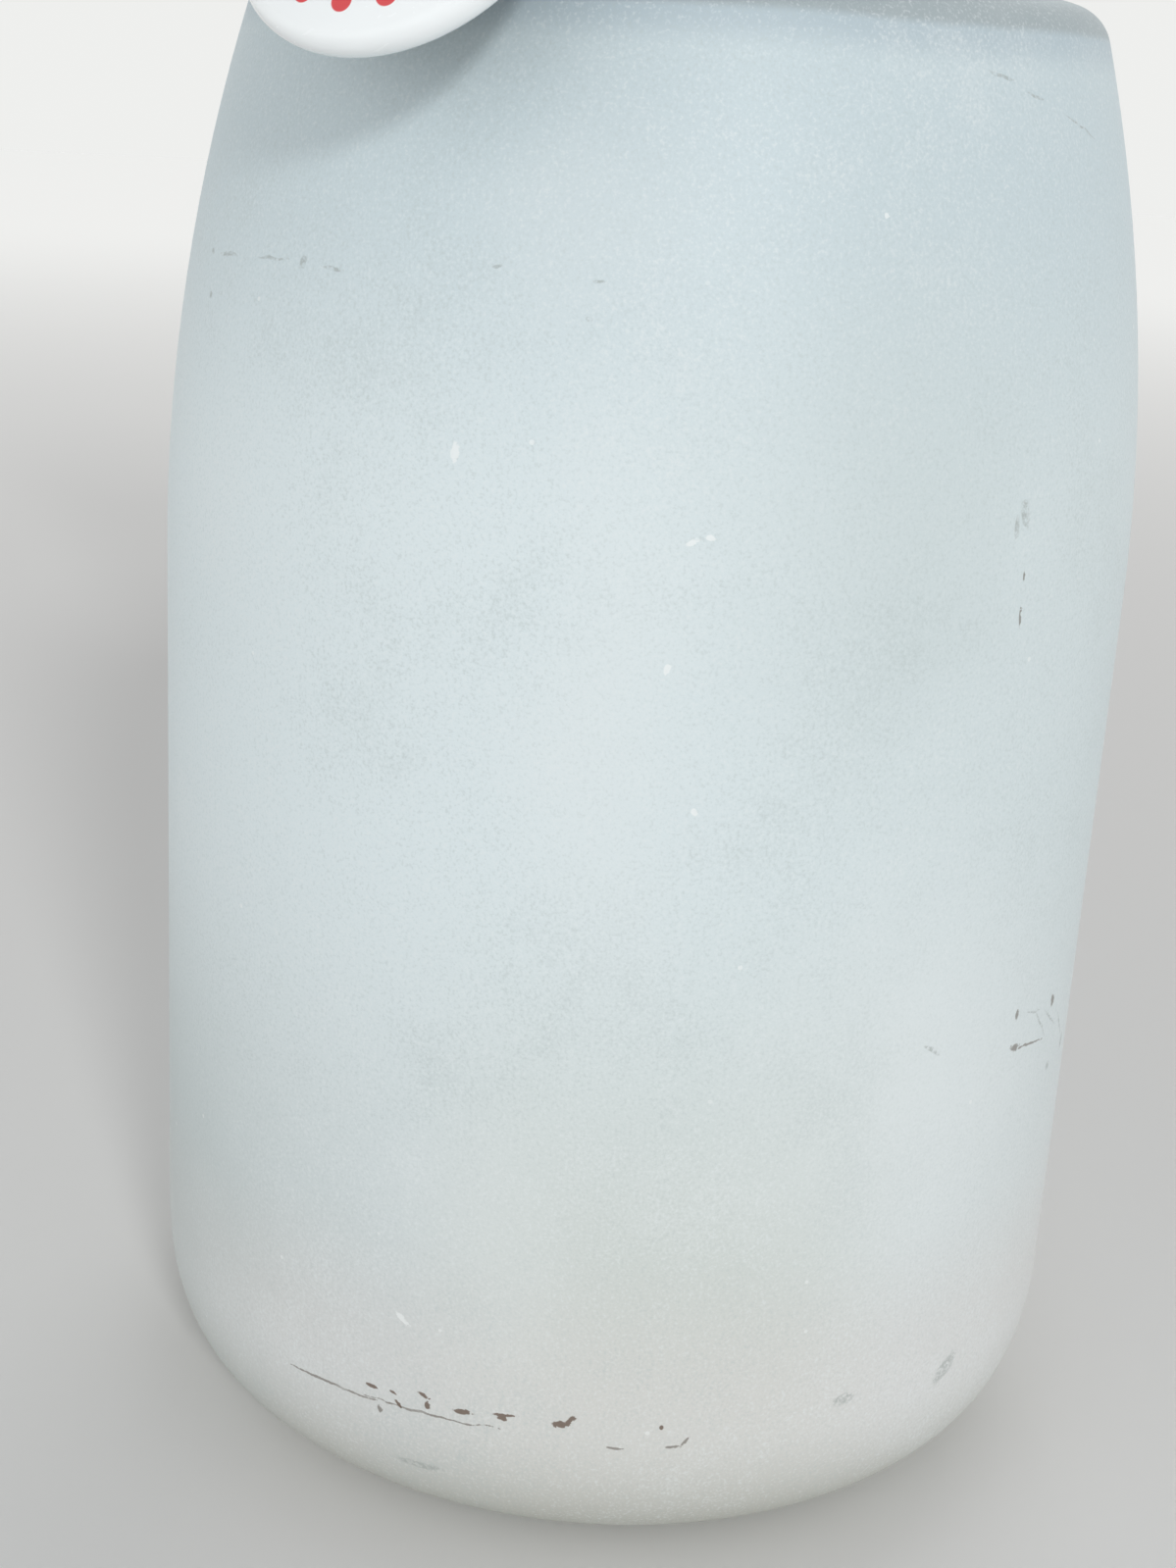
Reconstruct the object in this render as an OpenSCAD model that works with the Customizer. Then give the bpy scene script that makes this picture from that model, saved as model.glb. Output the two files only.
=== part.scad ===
// Two-litre frosted volumetric flask with a ground-joint stopper and a hinged
// identity badge carried over the shoulder by a clamped neck collar.
// Millimetres, +Z up. The origin is the centre of the flat base.

/* [Vessel] */
// Outer diameter of the straight part of the body
body_d = 127; // [122:0.5:132]
// Wall thickness of the body and shoulder
glass_t = 3.5; // [3:0.1:4]
// Thickness of the glass under the liquid
floor_t = 6; // [4.5:0.25:8]
// Diameter of the flat that the flask stands on
foot_flat_d = 64; // [56:1:72]
// Height of the rounded foot
foot_rise = 27; // [22:0.5:32]
// Fullness of the rounded foot, where 2 is an ellipse
foot_fullness = 3; // [2.4:0.1:3.4]
// Height at which the straight side starts to lean in
barrel_start = 119; // [112:1:126]
// Radius of the barrel curve of the upper side
barrel_r = 232; // [215:1:250]
// Height at which the side meets the shoulder corner
shoulder_h = 187; // [182:0.5:192]
// Radius of the shoulder corner
shoulder_corner_r = 6; // [4.5:0.25:7.5]
// Rise of the shoulder towards the neck, in degrees
shoulder_slope = 14; // [11:0.5:17]

/* [Neck] */
// Outer diameter of the neck
neck_d = 27.5; // [26:0.25:29]
// Wall thickness of the neck
neck_t = 2; // [1.6:0.1:2.4]
// Radius of the sweep from shoulder to neck
neck_sweep_r = 10; // [8:0.5:12]
// Height of the mouth above the base
mouth_h = 330; // [310:1:350]
// Height of the graduation mark above the base
mark_h = 252.5; // [240:0.5:264]
// Width of the engraved graduation mark
mark_w = 0.5; // [0.3:0.05:0.8]
// Depth of the engraved graduation mark
mark_depth = 0.15; // [0.1:0.05:0.3]

/* [Ground joint] */
// Large diameter of the ground socket, at the mouth
joint_d = 29.2; // [28.4:0.1:30]
// Length of the ground socket
joint_len = 32; // [28:0.5:36]
// Length of socket over which its diameter drops by 1 mm
joint_taper = 10; // [9:0.25:12]
// Wall thickness of the socket
socket_t = 2.6; // [2:0.1:3.2]
// Length of the flare from the neck to the socket
socket_flare = 6; // [4:0.5:9]
// Radius of the bead round the mouth
mouth_bead_r = 2; // [1.5:0.1:2.6]

/* [Stopper] */
// Wall of the sealing sleeve
sleeve_t = 0.4; // [0.3:0.05:0.6]
// Width of the sleeve's grip ring outside the socket bore
grip_ring_w = 2.6; // [2:0.1:3.2]
// Height of the sleeve's grip ring
grip_ring_h = 1.8; // [1.2:0.1:2.6]
// Height of the stopper's waist
waist_h = 7; // [5:0.5:10]
// Diameter of the stopper's waist
waist_d = 21; // [19:0.5:23]
// Width of the stopper's six-sided head across its flats
head_af = 33; // [30:0.5:37]
// Thickness of the stopper's head
head_h = 10; // [8:0.5:13]
// Diameter of the hollow in the stopper
stopper_hollow_d = 15; // [12:0.5:17]
// Depth of the hollow in the stopper
stopper_hollow_depth = 27; // [20:0.5:29]

/* [Neck collar] */
// Thickness of the rubber liner between neck and collar
liner_t = 1.5; // [1.2:0.1:2]
// How far the liner shows above and below the collar
liner_lip = 0.8; // [0.5:0.1:1.2]
// Height of the collar band
collar_h = 9; // [8:0.25:11]
// Thickness of the collar band
collar_t = 1.2; // [1:0.1:1.6]
// Gap between the top of the neck sweep and the liner
collar_gap = 1; // [0.5:0.1:3]
// Gap between the collar's two clamping ears
ear_gap = 5; // [3.5:0.25:6]
// Length of each clamping ear
ear_len = 11; // [9.5:0.5:13]
// Thickness of each clamping ear
ear_t = 1.6; // [1.2:0.1:2]
// Diameter of the clamp screw
screw_d = 2.9; // [2.4:0.1:3.1]
// Direction in which the badge hangs, in degrees from +X
hanger_dir = 241.2; // [200:0.1:280]

/* [Hanger] */
// Distance of the hinge axis from the flask's axis
hinge_x = 21.5; // [20.5:0.25:24]
// Height of the hinge axis above the collar's lower edge
hinge_rise = 2.5; // [2:0.25:4]
// Diameter of the hinge pin
hinge_pin_d = 2.4; // [2:0.1:2.8]
// Radius of the rounded hinge lugs
lug_r = 3; // [2.6:0.1:3.4]
// Thickness of each hinge lug
lug_t = 1.6; // [1.2:0.1:2]
// Width of the hanger arm
arm_w = 8; // [7:0.25:9]
// Thickness of the hanger arm
arm_t = 1; // [0.8:0.1:1.2]
// Distance of the rubber bumper from the hinge, along the arm
bumper_pos = 22; // [18:0.5:25]
// Diameter of the rubber bumper
bumper_d = 7; // [6:0.25:7.75]

/* [Badge] */
// Outer diameter of the badge
badge_d = 38; // [37:0.25:39]
// Distance of the badge's centre from the flask's axis
badge_x = 61.3; // [60:0.1:65]
// Height of the badge's centre above the shoulder corner
badge_rise = 8.9; // [7:0.1:11]
// How far the badge's face is tipped up, in degrees
badge_tip = 35.5; // [30:0.5:38]
// Height of the domed face above the rim's middle
dome_h = 4; // [3:0.1:5]
// Radius of the rolled rim
rim_r = 1.9; // [1.6:0.1:2.1]
// Thickness of the badge's sheet metal
sheet_t = 0.3; // [0.25:0.05:0.4]
// Diameter of the spring wire on the badge's back
wire_d = 0.9; // [0.7:0.05:1]
// Height of the wire's straight length above the badge's centre
wire_rise = 4; // [3:0.25:5]

/* [Fits] */
// Radial clearance of a pin that turns in its hole
running_c = 0.05; // [0.03:0.01:0.08]
// Radial clearance of the ground joint and its sleeve
joint_c = 0.05; // [0.03:0.01:0.08]
// Radial clearance of parts that are pressed or clamped together
seat_c = 0.02; // [0.01:0.01:0.04]
// Gap between a part that can lift and what it rests on
rest_gap = 0.3; // [0.2:0.05:0.4]

/* [Hidden] */
$fn = 96;
curve_steps = 20;
wire_fn = 24;
weld = 0.01;
cut = 1;

body_r = body_d / 2;
neck_r = neck_d / 2;
foot_flat_r = foot_flat_d / 2;
lean = asin((shoulder_h - barrel_start) / barrel_r);
corner_centre = [body_r - barrel_r + (barrel_r - shoulder_corner_r) * cos(lean),
    barrel_start + (barrel_r - shoulder_corner_r) * sin(lean)];

// Points of an arc about a centre, from one angle to another
function arc(centre, r, from, to, steps = curve_steps) =
    [for (i = [0:steps]) let (a = from + (to - from) * i / steps)
        centre + r * [cos(a), sin(a)]];

// A list the other way round
function reversed(list) = [for (i = [len(list) - 1:-1:0]) list[i]];

// The rounded foot: a full quarter curve from the base up to the side
function foot_curve(side_r, base_z) =
    [for (i = [0:curve_steps]) let (a = 90 * i / curve_steps)
        [foot_flat_r + (side_r - foot_flat_r) * pow(sin(a), 2 / foot_fullness),
         base_z + (foot_rise - base_z) * (1 - pow(cos(a), 2 / foot_fullness))]];

// Height of the shoulder's slope at a distance from the axis, set in by a wall
function shoulder_z(x, inset) =
    let (start = corner_centre
        + (shoulder_corner_r - inset) * [sin(shoulder_slope), cos(shoulder_slope)])
    start[1] + (start[0] - x) * tan(shoulder_slope);

// Height at which the sweep ends in the straight neck
function neck_start(r, sweep, inset) =
    shoulder_z(r + sweep * (1 - sin(shoulder_slope)), inset)
    + sweep * cos(shoulder_slope);

// Side, shoulder and sweep of the vessel, set in by a wall
function vessel_curve(inset, base_z, r, sweep) =
    concat(foot_curve(body_r - inset, base_z),
        arc([body_r - barrel_r, barrel_start], barrel_r - inset, 0, lean),
        arc(corner_centre, shoulder_corner_r - inset, lean, 90 - shoulder_slope, 10),
        arc([r + sweep, neck_start(r, sweep, inset)], sweep,
            270 - shoulder_slope, 180, 14));

neck_z = neck_start(neck_r, neck_sweep_r, 0);
neck_bore_r = neck_r - neck_t;
joint_top_r = joint_d / 2;
joint_bottom_r = joint_top_r - joint_len / joint_taper / 2;
joint_bottom_z = mouth_h - joint_len;
socket_r = joint_top_r + socket_t;
bore_step = 3;

// Sleeve and stopper, both on the socket's taper
sleeve_r = joint_top_r - joint_c;
plug_r = sleeve_r - sleeve_t - joint_c;
taper_drop = joint_len / joint_taper / 2;
plug_tip = 1.5;
grip_z = mouth_h + rest_gap;
grip_r = joint_top_r + grip_ring_w;
waist_z = grip_z + grip_ring_h + rest_gap;
head_z = waist_z + waist_h;
head_dome_r = 42;
head_chamfer = 0.5;

// Collar, liner and clamp
liner_r = neck_r + seat_c + liner_t;
collar_r = liner_r + seat_c;
collar_z = neck_z + collar_gap + liner_lip;
collar_mid_z = collar_z + collar_h / 2;
ear_start = collar_r + collar_t / 3;
lug_root = 1;
screw_x = collar_r + collar_t + ear_len / 2;
screw_play = 0.3;
screw_hole_d = screw_d + screw_play;
screw_head_d = 5.6;
screw_head_h = 2;
screw_slot_w = 0.8;
nut_af = 5.5;
nut_h = 2.4;
screw_tail = 1.2;
ear_out = ear_gap / 2 + ear_t;
liner_gap = ear_gap - 2;

// Hanger: everything in the upright plane that the badge hangs in
hinge = [hinge_x, collar_z + hinge_rise];
lug_gap = 0.2;
lug_out = arm_w / 2 + lug_gap + lug_t;
knuckle_step = 0.6;
knuckle_r = lug_r - knuckle_step;
pin_head_over = 0.8;
pin_head_d = hinge_pin_d + 2 * pin_head_over;
pin_head_h = 1;
badge_r = badge_d / 2;
badge_centre = [badge_x, shoulder_h + badge_rise];
badge_up = [-sin(badge_tip), cos(badge_tip)];
badge_out = [cos(badge_tip), sin(badge_tip)];
function badge_point(up, out) = badge_centre + up * badge_up + out * badge_out;

rim_mid_r = badge_r - rim_r;
rim_mid_z = -0.1;
rim_curl = -110;
dome_r = (pow(rim_mid_r, 2) + pow(dome_h - rim_mid_z, 2) - pow(rim_r, 2))
    / (2 * (dome_h - rim_mid_z - rim_r));
dome_end = atan2(rim_mid_z - dome_h + dome_r, rim_mid_r);
collet_lift = 0.15;
collet_play = 0.1;
collet_w = 2;
collet_t = 0.5;
collet_back = rim_mid_z - (rim_r - sheet_t) + collet_lift;
collet_r = rim_mid_r - collet_play;
collet_hole_r = collet_r - collet_w;
wire_r = wire_d / 2;
wire_lap = 0.15;
wire_ring_r = collet_hole_r + wire_r + wire_lap;
wire_ring_z = collet_back + collet_t + wire_r;
leg_inset = 2;
leg_y = wire_ring_r - leg_inset;
wire_z = -2.6;
tongue_z = rim_mid_z - rim_r - rest_gap - arm_t / 2;
tongue_inset = 1;
tongue_reach = rim_mid_r - tongue_inset;
bend_over_eye = 1.5;
arm_bend = badge_point(wire_rise + bend_over_eye, tongue_z);
arm_angle = atan2(arm_bend[1] - hinge[1], arm_bend[0] - hinge[0]);
arm_len = norm(arm_bend - hinge);
eye_wall = 1;
eye_r = wire_r + running_c + eye_wall;

// Bumper: its rounded end stays just off the shoulder's slope
bumper_top = hinge + bumper_pos * [cos(arm_angle), sin(arm_angle)]
    - arm_t / 2 * [-sin(arm_angle), cos(arm_angle)];
bumper_drop = (bumper_top[1] - shoulder_z(bumper_top[0], 0))
    / (cos(arm_angle) - tan(shoulder_slope) * sin(arm_angle));
bumper_r = bumper_d / 2;
bumper_len = bumper_drop + bumper_r
    - (rest_gap + bumper_r) / cos(arm_angle + shoulder_slope);
bumper_stem_d = 3;
bumper_cap_d = 5.4;
bumper_cap_h = 1.2;

// Puts the upright plane of the hanger where the badge hangs
module at_hanger() {
    rotate([0, 0, hanger_dir]) children();
}

// Puts things on the badge: z out of its face, -x up its face
module at_badge() {
    at_hanger()
        translate([badge_centre[0], 0, badge_centre[1]])
            rotate([0, 90 - badge_tip, 0]) children();
}

// Puts things on the arm: x along it from the hinge, z out of its top
module at_arm() {
    at_hanger()
        translate([hinge[0], 0, hinge[1]])
            rotate([0, -arm_angle, 0]) children();
}

// A flat strip between two points of the hanger's plane
module strip(p, q) {
    run = q - p;
    translate(p)
        rotate(atan2(run[1], run[0]))
            translate([0, -arm_t / 2]) square([norm(run), arm_t]);
    translate(q) circle(d = arm_t, $fn = wire_fn);
}

// A round bar along y, about its middle
module cross_bar(r, length) {
    rotate([90, 0, 0]) cylinder(r = r, h = length, center = true);
}

// A ring with a slot cut through the side that faces away from the hanger
module split_ring(inner_r, outer_r, z, h, gap) {
    difference() {
        translate([0, 0, z]) cylinder(r = outer_r, h = h);
        translate([0, 0, z - cut]) cylinder(r = inner_r, h = h + 2 * cut);
        translate([-2 * outer_r, -gap / 2, z - cut])
            cube([2 * outer_r, gap, h + 2 * cut]);
    }
}

module flask_body() {
    outside = concat([[0, 0]],
        vessel_curve(0, 0, neck_r, neck_sweep_r),
        [[neck_r, mark_h - mark_w / 2],
         [neck_r - mark_depth, mark_h - mark_w / 2],
         [neck_r - mark_depth, mark_h + mark_w / 2],
         [neck_r, mark_h + mark_w / 2],
         [neck_r, joint_bottom_z - bore_step - socket_flare],
         [socket_r, joint_bottom_z - bore_step]],
        arc([socket_r, mouth_h - mouth_bead_r], mouth_bead_r, -90, 90, 12));
    inside = concat([[0, floor_t]],
        vessel_curve(glass_t, floor_t, neck_bore_r, neck_sweep_r + glass_t),
        [[neck_bore_r, joint_bottom_z - bore_step],
         [joint_bottom_r, joint_bottom_z],
         [joint_top_r, mouth_h]]);
    color([0.80, 0.86, 0.87])
        rotate_extrude() polygon(concat(outside, reversed(inside)));
}

module joint_sleeve() {
    color([0.95, 0.95, 0.94])
        rotate_extrude()
            polygon([[sleeve_r - taper_drop, joint_bottom_z],
                [sleeve_r, mouth_h],
                [sleeve_r, grip_z],
                [grip_r, grip_z],
                [grip_r, grip_z + grip_ring_h],
                [sleeve_r - sleeve_t, grip_z + grip_ring_h],
                [sleeve_r - sleeve_t, mouth_h],
                [sleeve_r - sleeve_t - taper_drop, joint_bottom_z]]);
}

module stopper() {
    plug_end_r = plug_r - taper_drop;
    hollow_r = stopper_hollow_d / 2;
    color([0.86, 0.90, 0.90])
    difference() {
        union() {
            rotate_extrude()
                polygon(concat([[0, joint_bottom_z - plug_tip]],
                    [[plug_end_r - plug_tip, joint_bottom_z - plug_tip],
                     [plug_end_r, joint_bottom_z],
                     [plug_r, mouth_h],
                     [plug_r, waist_z]],
                    arc([waist_d / 2 + waist_h / 2, waist_z + waist_h / 2],
                        waist_h / 2, 270, 90, 12),
                    [[0, head_z]]));
            intersection() {
                translate([0, 0, head_z - weld])
                    cylinder(d = head_af / cos(30), h = head_h + weld, $fn = 6);
                translate([0, 0, head_z + head_h - head_dome_r]) sphere(r = head_dome_r);
                translate([0, 0, head_z - head_chamfer])
                    cylinder(r1 = head_af / 2, r2 = head_af / 2 + head_h + head_chamfer,
                        h = head_h + head_chamfer);
            }
        }
        translate([0, 0, joint_bottom_z - plug_tip - cut])
            cylinder(r = hollow_r, h = stopper_hollow_depth + cut);
        translate([0, 0, joint_bottom_z - plug_tip + stopper_hollow_depth])
            sphere(r = hollow_r);
    }
}

module collar_liner() {
    color([0.16, 0.16, 0.17])
        at_hanger()
            split_ring(neck_r + seat_c, liner_r, collar_z - liner_lip,
                collar_h + 2 * liner_lip, liner_gap);
}

module neck_collar() {
    color([0.74, 0.75, 0.76])
    at_hanger() {
        difference() {
            union() {
                split_ring(collar_r, collar_r + collar_t, collar_z, collar_h, ear_gap);
                for (side = [-1, 1]) {
                    // clamping ear
                    translate([-ear_start - ear_len, side * (ear_gap + ear_t) / 2 - ear_t / 2,
                            collar_z])
                        cube([ear_len, ear_t, collar_h]);
                    // hinge lug
                    translate([ear_start - lug_root, side * (lug_out - lug_t / 2), 0])
                        rotate([90, 0, 0]) lug_plate();
                }
            }
            translate([hinge[0], 0, hinge[1]])
                cross_bar(hinge_pin_d / 2 + seat_c, 2 * (lug_out + cut));
            translate([-screw_x, 0, collar_mid_z])
                cross_bar(screw_hole_d / 2, 2 * (ear_out + cut));
        }
    }
}

// One hinge lug, flat, from the band out round the hinge axis
module lug_plate() {
    reach = hinge[0] - ear_start + lug_root;
    linear_extrude(lug_t, center = true) {
        translate([0, hinge[1] - lug_r]) square([reach, 2 * lug_r]);
        translate([reach, hinge[1]]) circle(r = lug_r);
    }
}

module collar_screw() {
    shank = 2 * ear_out + nut_h + screw_tail;
    color([0.66, 0.67, 0.68])
        at_hanger()
            translate([-screw_x, ear_out, collar_mid_z])
                rotate([90, 0, 0])
                    difference() {
                        union() {
                            cylinder(d = screw_d, h = shank);
                            translate([0, 0, -screw_head_h])
                                cylinder(d = screw_head_d, h = screw_head_h);
                        }
                        translate([-screw_head_d, -screw_slot_w / 2, -screw_head_h - cut])
                            cube([2 * screw_head_d, screw_slot_w, screw_head_h / 2 + cut]);
                    }
}

module collar_nut() {
    color([0.66, 0.67, 0.68])
        at_hanger()
            translate([-screw_x, -ear_out, collar_mid_z])
                rotate([90, 0, 0])
                    difference() {
                        cylinder(d = nut_af / cos(30), h = nut_h, $fn = 6);
                        translate([0, 0, -cut])
                            cylinder(d = screw_d + 2 * seat_c, h = nut_h + 2 * cut);
                    }
}

module hinge_pin() {
    color([0.62, 0.63, 0.64])
        at_hanger()
            translate([hinge[0], 0, hinge[1]]) {
                cross_bar(hinge_pin_d / 2, 2 * lug_out);
                for (side = [-1, 1])
                    translate([0, side * (lug_out + pin_head_h / 2), 0])
                        cross_bar(pin_head_d / 2, pin_head_h);
            }
}

module hanger_arm() {
    eye = badge_point(wire_rise, wire_z);
    color([0.74, 0.75, 0.76])
    at_hanger()
        rotate([90, 0, 0])
            difference() {
                linear_extrude(arm_w, center = true) {
                    difference() {
                        union() {
                            strip(hinge, arm_bend);
                            strip(arm_bend, badge_point(-tongue_reach, tongue_z));
                            translate(hinge) circle(r = knuckle_r);
                            translate(eye) circle(r = eye_r);
                        }
                        translate(hinge) circle(r = hinge_pin_d / 2 + running_c);
                        translate(eye) circle(r = wire_r + running_c);
                    }
                }
                translate(hinge)
                    rotate(arm_angle)
                        translate([bumper_pos, 0]) rotate([90, 0, 0])
                            cylinder(d = bumper_stem_d + 2 * seat_c, h = 2 * arm_t,
                                center = true);
            }
}

module arm_bumper() {
    color([0.13, 0.13, 0.14])
        at_arm()
            translate([bumper_pos, 0, 0]) {
                translate([0, 0, arm_t / 2]) cylinder(d = bumper_cap_d, h = bumper_cap_h);
                translate([0, 0, -arm_t]) cylinder(d = bumper_stem_d, h = 2 * arm_t);
                translate([0, 0, -arm_t / 2 - bumper_len + bumper_r])
                    cylinder(r = bumper_r, h = bumper_len - bumper_r);
                translate([0, 0, -arm_t / 2 - bumper_len + bumper_r]) sphere(r = bumper_r);
            }
}

module badge_shell() {
    dome_centre = [0, dome_h - dome_r];
    rim_centre = [rim_mid_r, rim_mid_z];
    outer = concat(arc(dome_centre, dome_r, 90, dome_end, 10),
        arc(rim_centre, rim_r, dome_end, rim_curl, 18));
    inner = concat(arc(dome_centre, dome_r - sheet_t, 90, dome_end, 10),
        arc(rim_centre, rim_r - sheet_t, dome_end, rim_curl, 18));
    color([0.95, 0.95, 0.96])
        at_badge() rotate_extrude() polygon(concat(outer, reversed(inner)));
}

module badge_collet() {
    color([0.72, 0.72, 0.70])
        at_badge()
            translate([0, 0, collet_back])
                difference() {
                    cylinder(r = collet_r, h = collet_t);
                    translate([0, 0, -cut]) cylinder(r = collet_hole_r, h = collet_t + 2 * cut);
                }
}

module badge_pin() {
    ring_y = sqrt(pow(wire_ring_r, 2) - pow(wire_rise, 2));
    color([0.78, 0.78, 0.76])
    at_badge() {
        translate([0, 0, wire_ring_z])
            rotate_extrude() translate([wire_ring_r, 0]) circle(r = wire_r, $fn = wire_fn);
        translate([-wire_rise, 0, wire_z]) cross_bar(wire_r, 2 * leg_y);
        for (side = [-1, 1]) {
            translate([-wire_rise, side * leg_y, wire_z]) {
                cylinder(r = wire_r, h = wire_ring_z - wire_z, $fn = wire_fn);
                sphere(r = wire_r, $fn = wire_fn);
            }
            translate([-wire_rise, side * (ring_y + leg_y) / 2, wire_ring_z])
                cross_bar(wire_r, ring_y - leg_y);
            translate([-wire_rise, side * leg_y, wire_ring_z]) sphere(r = wire_r, $fn = wire_fn);
        }
    }
}

flask_body();
joint_sleeve();
stopper();
collar_liner();
neck_collar();
collar_screw();
collar_nut();
hinge_pin();
hanger_arm();
arm_bumper();
badge_shell();
badge_collet();
badge_pin();
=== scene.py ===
"""Looks of a frosted two-litre volumetric flask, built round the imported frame.

Everything is in metres, +Z up, with the origin at the centre of the flat base. Each sub-assembly is a class that
holds its sizes, builds its pieces and dresses them. Sizes repeat the CAD source, so every piece stays where its solid
is. Shader patterns read the pieces' own coordinates, so they stay on a piece when it moves.
"""
import logging
import math
from dataclasses import dataclass, field
from enum import Enum
from typing import Sequence

import bmesh
import bpy
from mathutils import Matrix, Vector


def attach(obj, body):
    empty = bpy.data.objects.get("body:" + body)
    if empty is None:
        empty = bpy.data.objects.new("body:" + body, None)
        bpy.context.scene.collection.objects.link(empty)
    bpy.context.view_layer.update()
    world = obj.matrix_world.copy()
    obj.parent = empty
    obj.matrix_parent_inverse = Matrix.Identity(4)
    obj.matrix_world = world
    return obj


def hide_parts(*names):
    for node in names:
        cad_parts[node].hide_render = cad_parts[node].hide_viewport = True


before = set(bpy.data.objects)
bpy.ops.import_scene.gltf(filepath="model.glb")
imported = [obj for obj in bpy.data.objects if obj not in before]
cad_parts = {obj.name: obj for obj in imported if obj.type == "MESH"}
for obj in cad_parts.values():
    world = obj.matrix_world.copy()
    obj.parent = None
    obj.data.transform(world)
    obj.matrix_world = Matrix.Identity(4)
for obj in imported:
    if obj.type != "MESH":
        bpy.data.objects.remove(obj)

logging.basicConfig(level=logging.INFO, format="%(message)s")
log = logging.getLogger("flask")

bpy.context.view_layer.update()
MM = 0.001
WELD = 0.0005 * MM
GLASS_IOR = 1.5
Point = tuple[float, float]
Span = tuple[float, float]
Colour = tuple[float, float, float]


# ---------------------------------------------------------------------------------------------- shader expressions

class Signal:
    """A shader socket that carries one number, with Python's operators."""

    def __init__(self, sheet: "NodeSheet", socket: bpy.types.NodeSocket) -> None:
        """Keeps the sheet that the socket belongs to."""
        self.sheet = sheet
        self.socket = socket

    def _math(self, operation: str, first: object, second: object = None) -> "Signal":
        """Adds one Math node and returns its result."""
        inputs = {0: first} if second is None else {0: first, 1: second}
        return self.sheet.signal("ShaderNodeMath", {"operation": operation}, inputs)

    def __add__(self, other: object) -> "Signal":
        """self + other."""
        return self._math("ADD", self, other)

    def __radd__(self, other: object) -> "Signal":
        """other + self."""
        return self._math("ADD", other, self)

    def __sub__(self, other: object) -> "Signal":
        """self - other."""
        return self._math("SUBTRACT", self, other)

    def __rsub__(self, other: object) -> "Signal":
        """other - self."""
        return self._math("SUBTRACT", other, self)

    def __mul__(self, other: object) -> "Signal":
        """self * other."""
        return self._math("MULTIPLY", self, other)

    def __rmul__(self, other: object) -> "Signal":
        """other * self."""
        return self._math("MULTIPLY", other, self)

    def __truediv__(self, other: object) -> "Signal":
        """self / other."""
        return self._math("DIVIDE", self, other)

    def squared(self) -> "Signal":
        """The value times itself."""
        return self * self

    def root(self) -> "Signal":
        """The square root."""
        return self._math("SQRT", self)

    def at_least(self, other: object) -> "Signal":
        """The larger of the two."""
        return self._math("MAXIMUM", self, other)

    def at_most(self, other: object) -> "Signal":
        """The smaller of the two."""
        return self._math("MINIMUM", self, other)

    def ramp(self, low: float, high: float, start: float = 0.0, end: float = 1.0) -> "Signal":
        """Goes smoothly from start to end as the signal goes from low to high.

        Args:
            low: The value at which the result is start.
            high: The value at which the result is end.
            start: The result at and before low.
            end: The result at and past high.

        Returns:
            The eased signal.
        """
        settings = {"interpolation_type": "SMOOTHSTEP"}
        values = {0: self, 1: low, 2: high, 3: start, 4: end}
        return self.sheet.signal("ShaderNodeMapRange", settings, values)


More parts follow.
